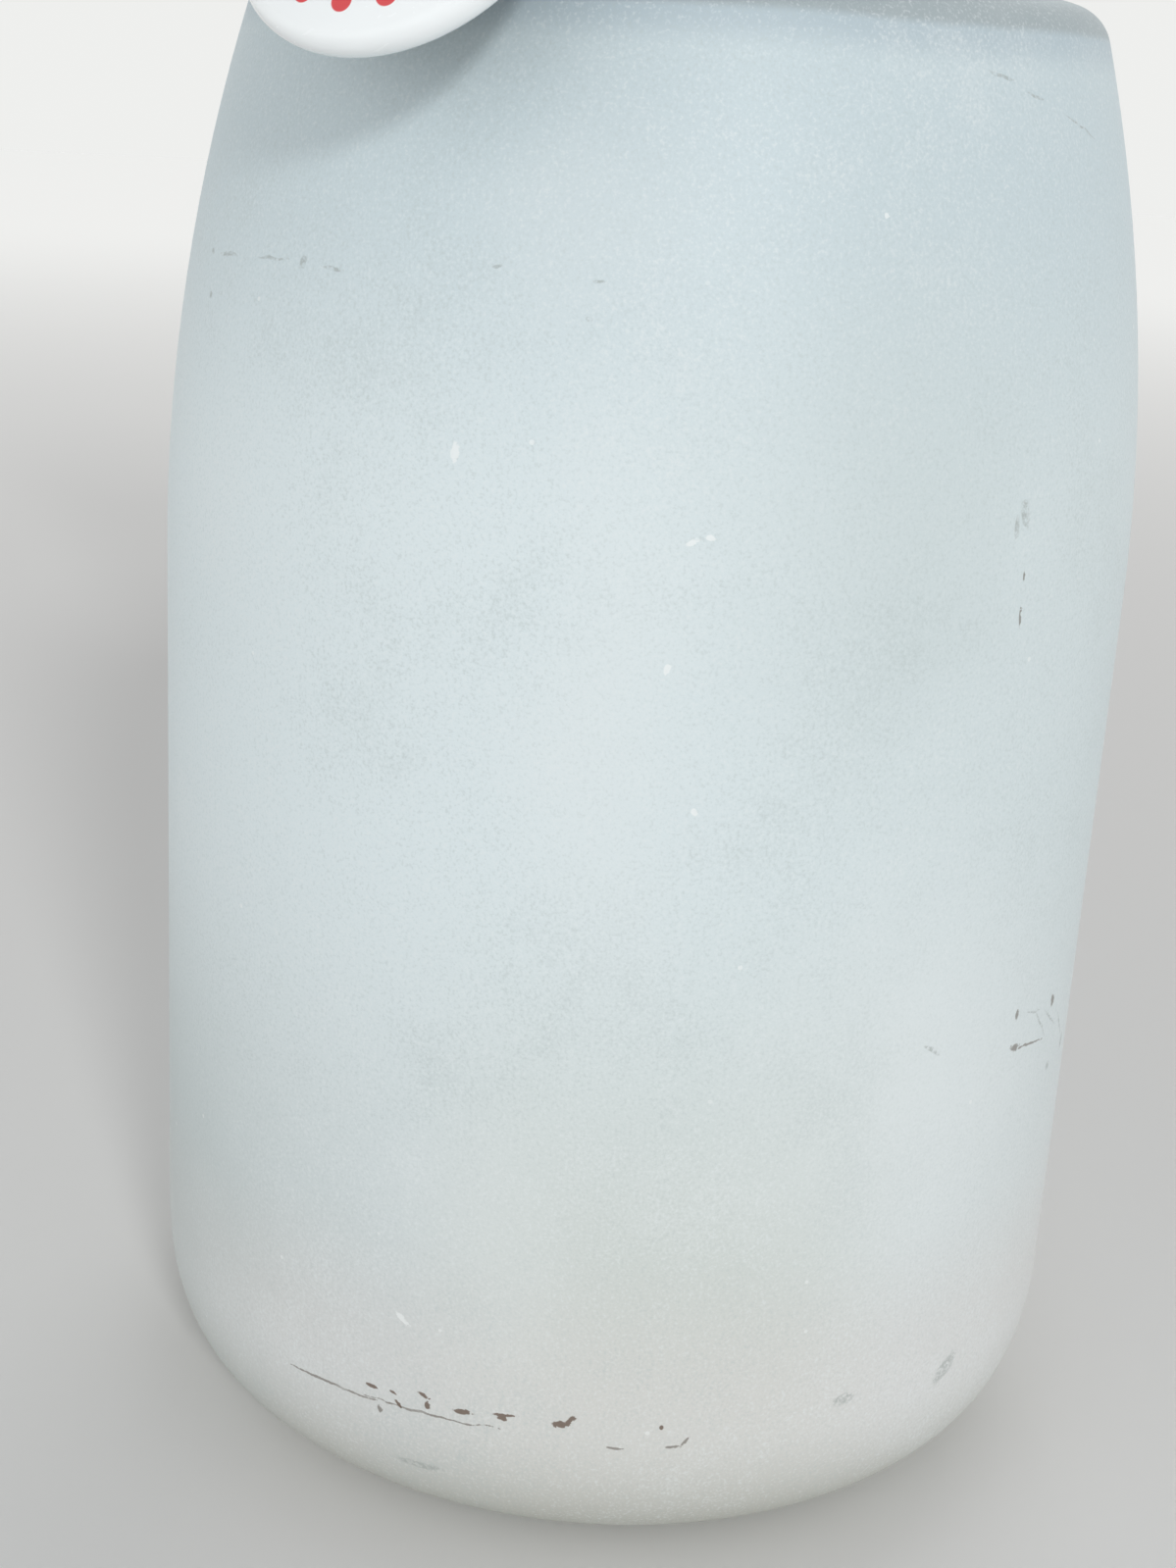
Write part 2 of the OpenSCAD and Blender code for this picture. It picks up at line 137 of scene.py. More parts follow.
class NodeSheet:
    """A node tree, and the ways in which nodes are added to it."""

    def __init__(self, tree: bpy.types.NodeTree, coordinates: str) -> None:
        """Empties the tree and adds the coordinates that its patterns read.

        Args:
            tree: The tree.
            coordinates: The output of a Texture Coordinate node that they are.
        """
        self.tree = tree
        self.tree.nodes.clear()
        self.place = self.node("ShaderNodeTexCoord").outputs[coordinates]

    def node(self, kind: str, settings: dict | None = None, inputs: dict | None = None) -> bpy.types.Node:
        """Adds a node of any type.

        Args:
            kind: The node's type.
            settings: Its properties, set before its inputs; "stops" are a colour ramp's places and colours.
            inputs: Values or links, by socket name or index.

        Returns:
            The new node.
        """
        made = self.tree.nodes.new(kind)
        for key, value in (settings or {}).items():
            if key == "stops":
                self._set_stops(made.color_ramp, value)
            else:
                setattr(made, key, value)
        for key, value in (inputs or {}).items():
            self.feed(made.inputs[key], value)
        return made

    @staticmethod
    def _set_stops(ramp: bpy.types.ColorRamp, stops: Sequence[tuple[float, Colour]]) -> None:
        """Sets a colour ramp's places and colours.

        Args:
            ramp: The ramp.
            stops: The place and colour of each stop, from the left.
        """
        while len(ramp.elements) < len(stops):
            ramp.elements.new(1.0)
        for element, (place, colour) in zip(ramp.elements, stops):
            element.position = place
            element.color = (*colour, 1.0)

    def feed(self, socket: bpy.types.NodeSocket, value: object) -> None:
        """Links a socket or signal to an input, or sets the input's own value.

        Args:
            socket: The input.
            value: What it gets.
        """
        if isinstance(value, Signal):
            self.tree.links.new(value.socket, socket)
        elif isinstance(value, bpy.types.NodeSocket):
            self.tree.links.new(value, socket)
        elif socket.type == "RGBA" and len(value) == 3:
            socket.default_value = (*value, 1.0)
        else:
            socket.default_value = value

    def signal(self, kind: str, settings: dict | None = None, inputs: dict | None = None,
               output: int | str = 0) -> Signal:
        """Adds a node and wraps one of its outputs.

        Args:
            kind: The node's type.
            settings: Its properties.
            inputs: Its input values or links.
            output: Which output to wrap.

        Returns:
            The wrapped output.
        """
        return Signal(self, self.node(kind, settings, inputs).outputs[output])

    def axes(self, place: bpy.types.NodeSocket | None = None) -> tuple[Signal, Signal, Signal]:
        """The three coordinates of a place, the sheet's own by default."""
        split = self.node("ShaderNodeSeparateXYZ", None, {0: place or self.place})
        return tuple(Signal(self, split.outputs[i]) for i in range(3))

    def stretched(self, scale: Sequence[float], turn: Sequence[float] = (0, 0, 0)) -> bpy.types.NodeSocket:
        """The piece's coordinates turned, in radians, and then scaled, for a pattern that runs one way."""
        turned = self.node("ShaderNodeMapping", None, {"Vector": self.place, "Rotation": turn}).outputs[0]
        return self.node("ShaderNodeMapping", None, {"Vector": turned, "Scale": scale}).outputs[0]

    def noise(self, pitch: float, detail: float = 3.0, rough: float = 0.5,
              place: bpy.types.NodeSocket | None = None) -> Signal:
        """Cloudy noise.

        Args:
            pitch: The size of its patches, in metres, or in the place's own units.
            detail: How many finer layers it has.
            rough: How strong the finer layers are.
            place: The coordinates it reads, the sheet's own by default.

        Returns:
            A signal about 0.5.
        """
        inputs = {"Vector": place or self.place, "Scale": 1 / pitch, "Detail": detail, "Roughness": rough}
        return self.signal("ShaderNodeTexNoise", None, inputs)

    def mix(self, amount: object, first: object, second: object) -> bpy.types.NodeSocket:
        """A colour that goes from first to second by amount."""
        settings = {"data_type": "RGBA", "clamp_factor": True}
        return self.node("ShaderNodeMix", settings, {0: amount, 6: first, 7: second}).outputs[2]

    def bump(self, height: Signal, depth: float, strength: float = 1.0,
             under: bpy.types.NodeSocket | None = None) -> bpy.types.NodeSocket:
        """Turns a height signal into a normal.

        Args:
            height: The height, from 0 to 1.
            depth: What a height of 1 stands for, in metres.
            strength: How much of it shows.
            under: A normal that this relief lies on.

        Returns:
            The normal socket.
        """
        inputs = {"Height": height, "Distance": depth, "Strength": strength}
        if under is not None:
            inputs["Normal"] = under
        return self.node("ShaderNodeBump", None, inputs).outputs[0]


class MaterialSheet(NodeSheet):
    """One material's node tree, which ends in a Principled shader and reads the piece's own coordinates."""

    def __init__(self, name: str) -> None:
        """Makes the material.

        Args:
            name: The material's name.
        """
        self.material = bpy.data.materials.new(name)
        self.material.use_nodes = True
        super().__init__(self.material.node_tree, "Object")
        self.shader = self.node("ShaderNodeBsdfPrincipled")
        self.node("ShaderNodeOutputMaterial", None, {"Surface": self.shader.outputs[0]})

    def finish(self, **inputs: object) -> bpy.types.Material:
        """Feeds the Principled shader, with underscores for the spaces in its sockets' names."""
        for key, value in inputs.items():
            self.feed(self.shader.inputs[key.replace("_", " ")], value)
        return self.material


# ------------------------------------------------------------------------------------------------------- finishes

class MarkKind(Enum):
    """What has happened to the frosting at a mark."""

    CHIP = "chip"
    SCRATCH = "scratch"
    SCUFF = "scuff"
    FLECK = "fleck"


@dataclass(frozen=True)
class Mark:
    """One mark on the body, placed by its bearing from the front (right is positive) and its height."""

    kind: MarkKind
    bearing: float
    height: float
    half_length: float
    half_width: float
    tilt: float = 0.0


MARKS = (
    # the long scratch round the top of the foot, and the chips beside it: real wear, whose dark brown is a painted
    # reflection seen in the bare glass
    Mark(MarkKind.SCRATCH, -31.8, 21.7, 7.2, 0.17, 1.0),
    Mark(MarkKind.SCRATCH, -19.2, 22.2, 8.4, 0.15, 0.8),
    Mark(MarkKind.CHIP, -26.4, 23.7, 0.90, 0.24, -12),
    Mark(MarkKind.CHIP, -23.6, 23.8, 0.50, 0.18, -12),
    Mark(MarkKind.CHIP, -23.0, 22.5, 0.70, 0.26, -45),
    Mark(MarkKind.CHIP, -19.9, 24.7, 0.85, 0.28, -22),
    Mark(MarkKind.CHIP, -19.4, 23.4, 0.35, 0.50),
    Mark(MarkKind.SCRATCH, -25.4, 20.8, 0.30, 0.60, 18),
    Mark(MarkKind.CHIP, -15.2, 23.8, 1.25, 0.26, -4),
    Mark(MarkKind.CHIP, -10.4, 24.5, 1.50, 0.24, 3),
    Mark(MarkKind.CHIP, -10.6, 24.1, 0.60, 0.40),
    Mark(MarkKind.CHIP, -4.2, 24.1, 1.05, 0.46, 14),
    Mark(MarkKind.CHIP, -3.2, 24.7, 0.95, 0.36, 48),
    Mark(MarkKind.SCRATCH, 2.1, 21.3, 1.10, 0.17, -4),
    Mark(MarkKind.SCRATCH, 8.4, 21.6, 0.90, 0.20, 4),
    Mark(MarkKind.SCRATCH, 9.6, 22.2, 0.80, 0.18, 55),
    Mark(MarkKind.CHIP, 6.9, 24.4, 0.24, 0.24),
    # rubbed places lower on the foot and to the right
    Mark(MarkKind.SCUFF, -20.6, 13.7, 3.20, 0.55, 2),
    Mark(MarkKind.SCUFF, 44.6, 23.6, 2.60, 1.20, 40),
    Mark(MarkKind.SCUFF, 28.6, 25.0, 1.60, 0.80, 10),
    # a broken line round the upper body
    Mark(MarkKind.SCUFF, -58.0, 157.8, 2.60, 0.24, 1),
    Mark(MarkKind.SCUFF, -47.8, 158.3, 3.20, 0.17, 1),
    Mark(MarkKind.SCUFF, -42.5, 158.5, 0.62, 0.60),
    Mark(MarkKind.SCUFF, -42.4, 158.2, 0.35, 0.40),
    Mark(MarkKind.SCUFF, -62.9, 157.6, 0.60, 0.36),
    Mark(MarkKind.SCUFF, -37.8, 158.2, 1.70, 0.22, -4),
    Mark(MarkKind.SCUFF, -18.0, 160.2, 0.55, 0.22),
    Mark(MarkKind.SCUFF, -7.4, 159.5, 0.70, 0.20),
    Mark(MarkKind.SCUFF, -8.1, 155.6, 0.36, 0.26),
    Mark(MarkKind.SCUFF, -61.4, 152.6, 0.50, 0.42),
    # small marks down the right side
    Mark(MarkKind.SCUFF, 41.4, 135.6, 0.70, 1.60, 14),
    Mark(MarkKind.SCUFF, 40.2, 134.0, 0.40, 1.30),
    Mark(MarkKind.SCRATCH, 41.9, 123.7, 0.20, 1.00, 4),
    Mark(MarkKind.SCRATCH, 41.9, 128.4, 0.14, 0.50),
    Mark(MarkKind.SCRATCH, 51.3, 66.9, 1.05, 0.42, -14),
    Mark(MarkKind.SCRATCH, 55.4, 65.8, 3.60, 0.16, -9),
    Mark(MarkKind.SCRATCH, 51.0, 71.3, 0.42, 0.62),
    Mark(MarkKind.SCRATCH, 61.4, 69.7, 0.55, 0.80, 10),
    Mark(MarkKind.SCUFF, 55.3, 70.3, 2.20, 0.17, -12),
    Mark(MarkKind.SCUFF, 61.2, 67.4, 3.20, 0.20, -36),
    Mark(MarkKind.SCUFF, 58.0, 67.6, 3.00, 0.18, -48),
    Mark(MarkKind.SCUFF, 66.6, 64.2, 3.00, 0.20, -50),
    Mark(MarkKind.SCUFF, 69.5, 60.6, 0.80, 1.10),
    Mark(MarkKind.SCUFF, 62.9, 59.6, 0.75, 0.70),
    Mark(MarkKind.SCUFF, 35.8, 71.0, 1.60, 0.28, -34),
    # the faint curve under the right of the shoulder
    Mark(MarkKind.SCUFF, 38.9, 182.2, 2.20, 0.23, -9),
    Mark(MarkKind.SCUFF, 44.7, 180.4, 1.70, 0.19, -10),
    Mark(MarkKind.SCUFF, 54.2, 177.4, 4.20, 0.16, -16),
    # pale flecks
    Mark(MarkKind.FLECK, -20.7, 140.6, 0.50, 1.05, 4),
    Mark(MarkKind.FLECK, 3.4, 133.4, 0.75, 0.30, 25),
    Mark(MarkKind.FLECK, 5.2, 133.9, 0.50, 0.28, 5),
    Mark(MarkKind.FLECK, 22.3, 167.5, 0.36, 0.36),
    Mark(MarkKind.FLECK, -22.8, 34.6, 1.05, 0.38, -38),
    Mark(MarkKind.FLECK, 1.8, 119.5, 0.32, 0.62, -20),
    Mark(MarkKind.FLECK, 5.5, 103.5, 0.38, 0.38),
)


@dataclass(frozen=True)
class PaintedPatch:
    """A soft patch, in millimetres, of painted light where its strength is above 0 and of painted shade where it is
    below.
    """

    x: float
    height: float
    half_width: float
    half_height: float
    strength: float


# soft patches of painted light (strength above 0) and painted shade (below 0)
PAINTED_PATCHES = (
    PaintedPatch(25, 137, 28, 42, -0.26),
    PaintedPatch(35, 68, 28, 42, 0.48),
    PaintedPatch(-8, 165, 22, 18, 0.20),
    PaintedPatch(-6, 112, 15, 44, 0.30),
    PaintedPatch(-14, 48, 19, 26, 0.27),
    # painted reflection of a brown surface, darkening the lower left
    PaintedPatch(-60, 36, 30, 48, -0.42),
)


@dataclass(frozen=True)
class FrostedGlass:
    """Pale blue-green glass, frosted outside and in, cloudy at arm's length and grainy close up, with painted shade
    and painted light laid into its tones and patches.
    """

    # the glass's tones, and the colours of what lies on it
    neck: Colour = (0.655, 0.735, 0.750)
    ground: Colour = (0.800, 0.840, 0.840)
    # painted shade: corner darkens a ring round the shoulder corner, and shoulder a band just under it
    corner: Colour = (0.380, 0.445, 0.470)
    shoulder: Colour = (0.475, 0.575, 0.630)
    # painted shade: the upper body darker, as the light falls off towards the top
    upper_shade: Colour = (0.592, 0.695, 0.735)
    # painted light and painted shade across the upper body: the first of these two tones lighter on the left, the
    # second darker on the right
    lit_left: Colour = (0.742, 0.832, 0.858)
    clear: Colour = (0.686, 0.772, 0.792)
    # painted shade and painted light on the lower body: darker on the left and in a warm band down the middle, lighter
    # on the right
    low_middle_shade: Colour = (0.650, 0.692, 0.662)
    shaded_low_left: Colour = (0.655, 0.715, 0.722)
    lit_low_right: Colour = (0.712, 0.762, 0.768)
    # a warmer, darker tone low on the body, towards the foot
    dusty: Colour = (0.720, 0.700, 0.682)
    # the frosting's pale and dull tones, also used for the patches of painted light and painted shade
    frost_and_painted_light: Colour = (0.810, 0.860, 0.870)
    pit_and_painted_shade: Colour = (0.500, 0.575, 0.575)
    # a darker tone at the base of the foot
    foot_dark: Colour = (0.450, 0.455, 0.400)
    # painted reflection: the dark brown of the bare glass in the chips, which are real wear
    chip: Colour = (0.120, 0.062, 0.030)
    scratch: Colour = (0.190, 0.165, 0.140)
    scuff: Colour = (0.330, 0.370, 0.355)
    fleck: Colour = (0.930, 0.960, 0.960)
    # the two places, across or up the vessel, between which one tone gives way to the next, and by how much
    # where the painted light on the left gives way to painted shade on the right
    lit_left_to_shaded_right: Span = (-0.030, 0.042)
    # where the painted shade comes in on the upper body and under the shoulder, and where the painted shade ring at
    # the corner starts and ends
    to_upper_shade: Span = (0.130, 0.176)
    to_shoulder_shade: Span = (0.1825, 0.1868)
    shade_ring_start: Span = (0.1868, 0.1880)
    shade_ring_end: Span = (0.1930, 0.1895)
    to_neck: Span = (0.1895, 0.1930)
    ground_start: Span = (0.295, 0.299)
    ground_end: Span = (0.329, 0.326)
    # where the lower body's painted shade and painted light lie across it
    low_shade_to_light: Span = (-0.025, 0.030)
    low_middle_shade_x: float = 0.006
    low_middle_shade_reach: Span = (0.034, 0.008)
    to_low: Span = (0.100, 0.030)
    # where the glass grows warmer and darker towards the foot, and darker still at the base
    to_warm_foot: Span = (0.050, 0.026)
    to_foot_dark: Span = (0.024, 0.000)
    ground_share: float = 0.5
    warm_foot_share: float = 0.55
    foot_dark_share: float = 0.9
    # the clouds, the haze and the grain: their sizes, their weights in the tone, and how far clouds move an edge
    cloud_pitch: float = 34 * MM
    haze_pitch: float = 5 * MM
    grain_pitch: float = 0.42 * MM
    fine_pitch: float = 0.75 * MM
    cloud_weight: float = 0.55
    haze_weight: float = 0.22
    grain_weight: float = 0.30
    edge_waver: float = 1.6 * MM
    # how far the clouds move the patches of painted light and painted shade
    painted_patch_drift: float = 32 * MM
    tone_reach: float = 0.25
    tone_share: float = 0.35
    shade_ring_hold: float = 0.6
    pale_grain: Span = (0.51, 0.76)
    pale_share: float = 0.30
    dull_grain: Span = (0.49, 0.24)
    dull_share: float = 0.23
    # specks and marks: where noise lets them show, how well they cover, and how their edges fray
    speck_pitch: float = 6.5 * MM
    speck_size: float = 0.036
    speck_edge: float = 1.5
    speck_chance: Span = (0.35, 0.75)
    speck_cover: float = 0.45
    fleck_cover: float = 0.6
    scuff_breaks: Span = (0.34, 0.60)
    scuff_cover: Span = (0.05, 0.60)
    scratch_breaks: Span = (0.30, 0.46)
    scratch_cover: Span = (0.38, 0.76)
    chip_cover: float = 0.84
    mark_edge: Span = (1.2, 0.8)
    mark_fray: float = 2.0
    fray_width: float = 0.5 * MM
    drift_pitch: float = 2.6 * MM
    drift_height: float = 0.9 * MM
    girth: float = 63.5 * MM
    # gloss and relief
    satin: float = 0.50
    foot_worn: float = 3 * MM
    foot_polish: float = 0.20
    relief: float = 0.05 * MM

    def material(self) -> bpy.types.Material:
        """The vessel's material."""
        sheet = MaterialSheet("frosted_glass")
        x, y, z = sheet.axes()
        clouds = sheet.noise(self.cloud_pitch, detail=3.0, rough=0.55)
        haze = sheet.noise(self.haze_pitch, detail=3.0, rough=0.65)
        grain = sheet.noise(self.grain_pitch, detail=1.0, rough=0.7)
        fine = sheet.noise(self.fine_pitch, detail=2.0, rough=0.7)
        edge = z + (clouds - 0.5) * self.edge_waver
        # painted shade: where the dark ring at the shoulder corner is
        ring = edge.ramp(*self.shade_ring_start) * z.ramp(*self.shade_ring_end)
        colour = self._tones(sheet, x, z, edge, ring)
        colour = self._frosting(sheet, colour, ring, clouds, haze, grain)
        drift = (clouds - 0.5) * self.painted_patch_drift
        # painted light and painted shade in soft patches, moved about by the clouds
        colour = sheet.mix(self._painted_patches(x + drift, z - drift, 1.0), colour, self.frost_and_painted_light)
        colour = sheet.mix(self._painted_patches(x + drift, z - drift, -1.0), colour, self.pit_and_painted_shade)
        colour = self._wear(sheet, colour, self._marks(sheet, x, y, z, fine), haze, fine)
        roughness = self.satin + (haze - 0.5) * 0.14 - z.ramp(self.foot_worn, 0.0, 0.0, self.foot_polish)
        normal = sheet.bump(grain * 0.6 + haze * 0.4, self.relief, strength=0.6)
        return sheet.finish(Base_Color=colour, Roughness=roughness, Normal=normal, IOR=GLASS_IOR)

    def _tones(self, sheet: NodeSheet, x: Signal, z: Signal, edge: Signal, ring: Signal) -> bpy.types.NodeSocket:
        """The glass's tone, which changes across the body and from the foot to the mouth, with painted shade and
        painted light: lighter left and darker right on the upper body, the other way round low down with a darker
        middle, darker towards the shoulder and in a ring at its corner, and warmer and darker towards the foot.

        Args:
            sheet: The material's sheet.
            x: The first coordinate.
            z: The height.
            edge: The height, wavering a little.
            ring: Where the painted shade ring at the shoulder corner is.

        Returns:
            The colour.
        """
        # painted light on the left and painted shade on the right of the upper body
        colour = sheet.mix(x.ramp(*self.lit_left_to_shaded_right), self.lit_left, self.clear)
        # painted shade: the upper body darker towards the top
        colour = sheet.mix(z.ramp(*self.to_upper_shade), colour, self.upper_shade)
        # painted shade: a darker band under the shoulder corner
        colour = sheet.mix(edge.ramp(*self.to_shoulder_shade), colour, self.shoulder)
        colour = sheet.mix(z.ramp(*self.to_neck), colour, self.neck)
        # painted shade: the dark ring at the shoulder corner
        colour = sheet.mix(ring, colour, self.corner)
        matt = z.ramp(*self.ground_start, 0.0, self.ground_share) * z.ramp(*self.ground_end)
        colour = sheet.mix(matt, colour, self.ground)
        # painted shade and painted light on the lower body: darker left and middle, lighter right
        low = sheet.mix(x.ramp(*self.low_shade_to_light), self.shaded_low_left, self.lit_low_right)
        far, near = self.low_middle_shade_reach
        low = sheet.mix((x - self.low_middle_shade_x).squared().ramp(far ** 2, near ** 2), low, self.low_middle_shade)
        colour = sheet.mix(z.ramp(*self.to_low), colour, low)
        # warmer and darker towards the foot, then darker still at the base
        colour = sheet.mix(z.ramp(*self.to_warm_foot, 0.0, self.warm_foot_share), colour, self.dusty)
        return sheet.mix(z.ramp(*self.to_foot_dark, 0.0, self.foot_dark_share), colour, self.foot_dark)

    def _frosting(self, sheet: NodeSheet, colour: bpy.types.NodeSocket, ring: Signal, clouds: Signal, haze: Signal,
                  grain: Signal) -> bpy.types.NodeSocket:
        """Lays cloudy patches and an even grain over the plain tone.

        Args:
            sheet: The material's sheet.
            colour: The plain tone.
            ring: Where the painted shade ring at the shoulder corner is, which stays darker.
            clouds: Wide noise.
            haze: Noise of finger width.
            grain: Fine noise.

        Returns:
            The colour.
        """
        tone = (clouds - 0.5) * self.cloud_weight + (haze - 0.5) * self.haze_weight + (grain - 0.5) * self.grain_weight
        pale = tone.ramp(0.0, self.tone_reach, 0.0, self.tone_share)
        dull = tone.ramp(0.0, -self.tone_reach, 0.0, self.tone_share)
        # the painted shade ring takes less of the pale frosting, so it stays darker
        colour = sheet.mix((1.0 - ring * self.shade_ring_hold) * pale, colour, self.frost_and_painted_light)
        colour = sheet.mix(dull, colour, self.pit_and_painted_shade)
        colour = sheet.mix(grain.ramp(*self.pale_grain, 0.0, self.pale_share), colour, self.frost_and_painted_light)
        return sheet.mix(grain.ramp(*self.dull_grain, 0.0, self.dull_share), colour, self.pit_and_painted_shade)

    def _wear(self, sheet: NodeSheet, colour: bpy.types.NodeSocket, marks: dict[MarkKind, Signal], haze: Signal,
              fine: Signal) -> bpy.types.NodeSocket:
        """Lays specks, flecks, scuffs, scratches and chips over the frosting.

        Args:
            sheet: The material's sheet.
            colour: The frosting's colour.
            marks: For each kind of mark, where it is.
            haze: Noise that breaks the scratches.
            fine: Noise that breaks the scuffs.

        Returns:
            The colour.
        """
        layers = ((self._specks(sheet) * self.speck_cover, self.fleck),
                  (marks[MarkKind.FLECK] * self.fleck_cover, self.fleck),
                  (marks[MarkKind.SCUFF] * fine.ramp(*self.scuff_breaks, *self.scuff_cover), self.scuff),
                  (marks[MarkKind.SCRATCH] * haze.ramp(*self.scratch_breaks, *self.scratch_cover), self.scratch),
                  (marks[MarkKind.CHIP] * self.chip_cover, self.chip))
        for amount, layer in layers:
            colour = sheet.mix(amount, colour, layer)
        return colour

    @staticmethod
    def _painted_patches(x: Signal, z: Signal, sign: float) -> Signal:
        """The soft patches of one sign, added up: painted light for 1 and painted shade for -1.

        Args:
            x: The first coordinate.
            z: The height.
            sign: 1 for the patches of painted light and -1 for those of painted shade.

        Returns:
            How much of the patches' colour shows.
        """
        total = None
        for patch in (p for p in PAINTED_PATCHES if p.strength * sign > 0):
            across = (x - patch.x * MM) / (patch.half_width * MM)
            along = (z - patch.height * MM) / (patch.half_height * MM)
            soft = (across.squared() + along.squared()).root().ramp(1.0, 0.0, 0.0, abs(patch.strength))
            total = soft if total is None else total + soft
        return total

    def _marks(self, sheet: NodeSheet, x: Signal, y: Signal, z: Signal, fine: Signal) -> dict[MarkKind, Signal]:
        """Where the marks are, on the body's unrolled surface.

        Args:
            sheet: The material's sheet.
            x: The first coordinate.
            y: The second coordinate.
            z: The height.
            fine: Fine noise that frays their edges.

        Returns:
            For each kind, a signal that is 1 inside its marks, with frayed edges.
        """
        bearing = sheet.signal("ShaderNodeMath", {"operation": "ARCTAN2"}, {0: x, 1: y * -1.0})
        fray = fine - 0.5
        drift = sheet.noise(self.drift_pitch, detail=1.0) - 0.5
        around = bearing * self.girth + fray * self.fray_width
        upward = z + drift * self.drift_height
        flat = sheet.node("ShaderNodeCombineXYZ", None, {0: around, 1: upward}).outputs[0]
        found = {}
        for kind in MarkKind:
            nearest = None
            for mark in (m for m in MARKS if m.kind is kind):
                inputs = {"Vector": flat,
                          "Location": (math.radians(mark.bearing) * self.girth, mark.height * MM, 0.0),
                          "Rotation": (0.0, 0.0, math.radians(mark.tilt)),
                          "Scale": (mark.half_length * MM, mark.half_width * MM, 1.0)}
                local = sheet.node("ShaderNodeMapping", {"vector_type": "TEXTURE"}, inputs).outputs[0]
                reach = sheet.signal("ShaderNodeVectorMath", {"operation": "LENGTH"}, {0: local}, "Value")
                nearest = reach if nearest is None else nearest.at_most(reach)
            found[kind] = (nearest + fray * self.mark_fray).ramp(*self.mark_edge)
        return found

    def _specks(self, sheet: NodeSheet) -> Signal:
        """Small round specks, one in some cells of a scattered grid. A speck's size is its share of a cell.

        Args:
            sheet: The material's sheet.

        Returns:
            A signal that is 1 inside the specks.
        """
        cells = sheet.node("ShaderNodeTexVoronoi", None, {"Vector": sheet.place, "Scale": 1 / self.speck_pitch})
        chance = sheet.axes(cells.outputs["Color"])[0].ramp(*self.speck_chance)
        distance = Signal(sheet, cells.outputs["Distance"])
        return distance.ramp(self.speck_size * self.speck_edge, self.speck_size) * chance


@dataclass(frozen=True)
class StopperGlass:
    """Clear pressed glass, ground to a matt face on the plug below the given height."""

    tint: Colour = (0.93, 0.975, 0.965)
    ground: Colour = (0.90, 0.94, 0.94)
    ground_below: float = 331.5 * MM
    ground_edge: float = 0.4 * MM

    def material(self) -> bpy.types.Material:
        """The stopper's material."""
        sheet = MaterialSheet("stopper_glass")
        _, _, z = sheet.axes()
        ground = z.ramp(self.ground_below + self.ground_edge, self.ground_below)
        swirl = sheet.noise(6 * MM, detail=2.0)
        grit = sheet.noise(0.25 * MM, detail=2.0, rough=0.7)
        smear = sheet.noise(9 * MM, detail=3.0).ramp(0.45, 0.75, 0.0, 0.10)
        roughness = 0.03 + smear + ground * 0.42
        waves = sheet.bump(swirl, 0.5 * MM, strength=0.35)
        normal = sheet.bump(grit * ground, 0.02 * MM, strength=0.6, under=waves)
        colour = sheet.mix(ground * 0.5 + (swirl - 0.5) * 0.1, self.tint, self.ground)
        return sheet.finish(Base_Color=colour, Roughness=roughness, Normal=normal, IOR=GLASS_IOR,
                            Transmission_Weight=0.9)


@dataclass(frozen=True)
class WaxyPlastic:
    """White waxy sleeve plastic with turning lines."""

    colour: Colour = (0.86, 0.86, 0.83)
    dusty: Colour = (0.72, 0.70, 0.64)

    def material(self) -> bpy.types.Material:
        """The sleeve's material."""
        sheet = MaterialSheet("sleeve_plastic")
        rings = sheet.noise(0.5 * MM, detail=2.0, rough=0.6, place=sheet.stretched((0.02, 0.02, 1.0)))
        dust = sheet.noise(3 * MM, detail=4.0, rough=0.65)
        colour = sheet.mix(dust.ramp(0.5, 0.8, 0.0, 0.35), self.colour, self.dusty)
        normal = sheet.bump(rings * 0.6 + dust * 0.2, 0.03 * MM, strength=0.6)
        return sheet.finish(Base_Color=colour, Roughness=0.42 + (dust - 0.5) * 0.2, Normal=normal,
                            Subsurface_Weight=0.3, Subsurface_Radius=(1.0, 0.95, 0.85), Subsurface_Scale=1.0 * MM)


@dataclass(frozen=True)
class Rubber:
    """Matt black rubber with a dusty bloom."""

    colour: Colour = (0.022, 0.022, 0.024)
    dusty: Colour = (0.11, 0.11, 0.105)

    def material(self) -> bpy.types.Material:
        """The liner's and bumper's material."""
        sheet = MaterialSheet("liner_rubber")
        grain = sheet.noise(0.35 * MM, detail=3.0, rough=0.7)
        bloom = sheet.noise(5 * MM, detail=4.0, rough=0.6)
        colour = sheet.mix(bloom.ramp(0.48, 0.78, 0.0, 0.30), self.colour, self.dusty)
        normal = sheet.bump(grain, 0.03 * MM, strength=0.6)
        return sheet.finish(Base_Color=colour, Roughness=0.62 + (grain - 0.5) * 0.25, Normal=normal)


class Grain(Enum):
    """The way in which metal is brushed, as the scale of its streaks along the three axes."""

    AROUND = (0.04, 0.04, 1.0)
    ALONG = (0.03, 1.0, 1.0)
    DRAWN = (1.0, 0.05, 1.0)


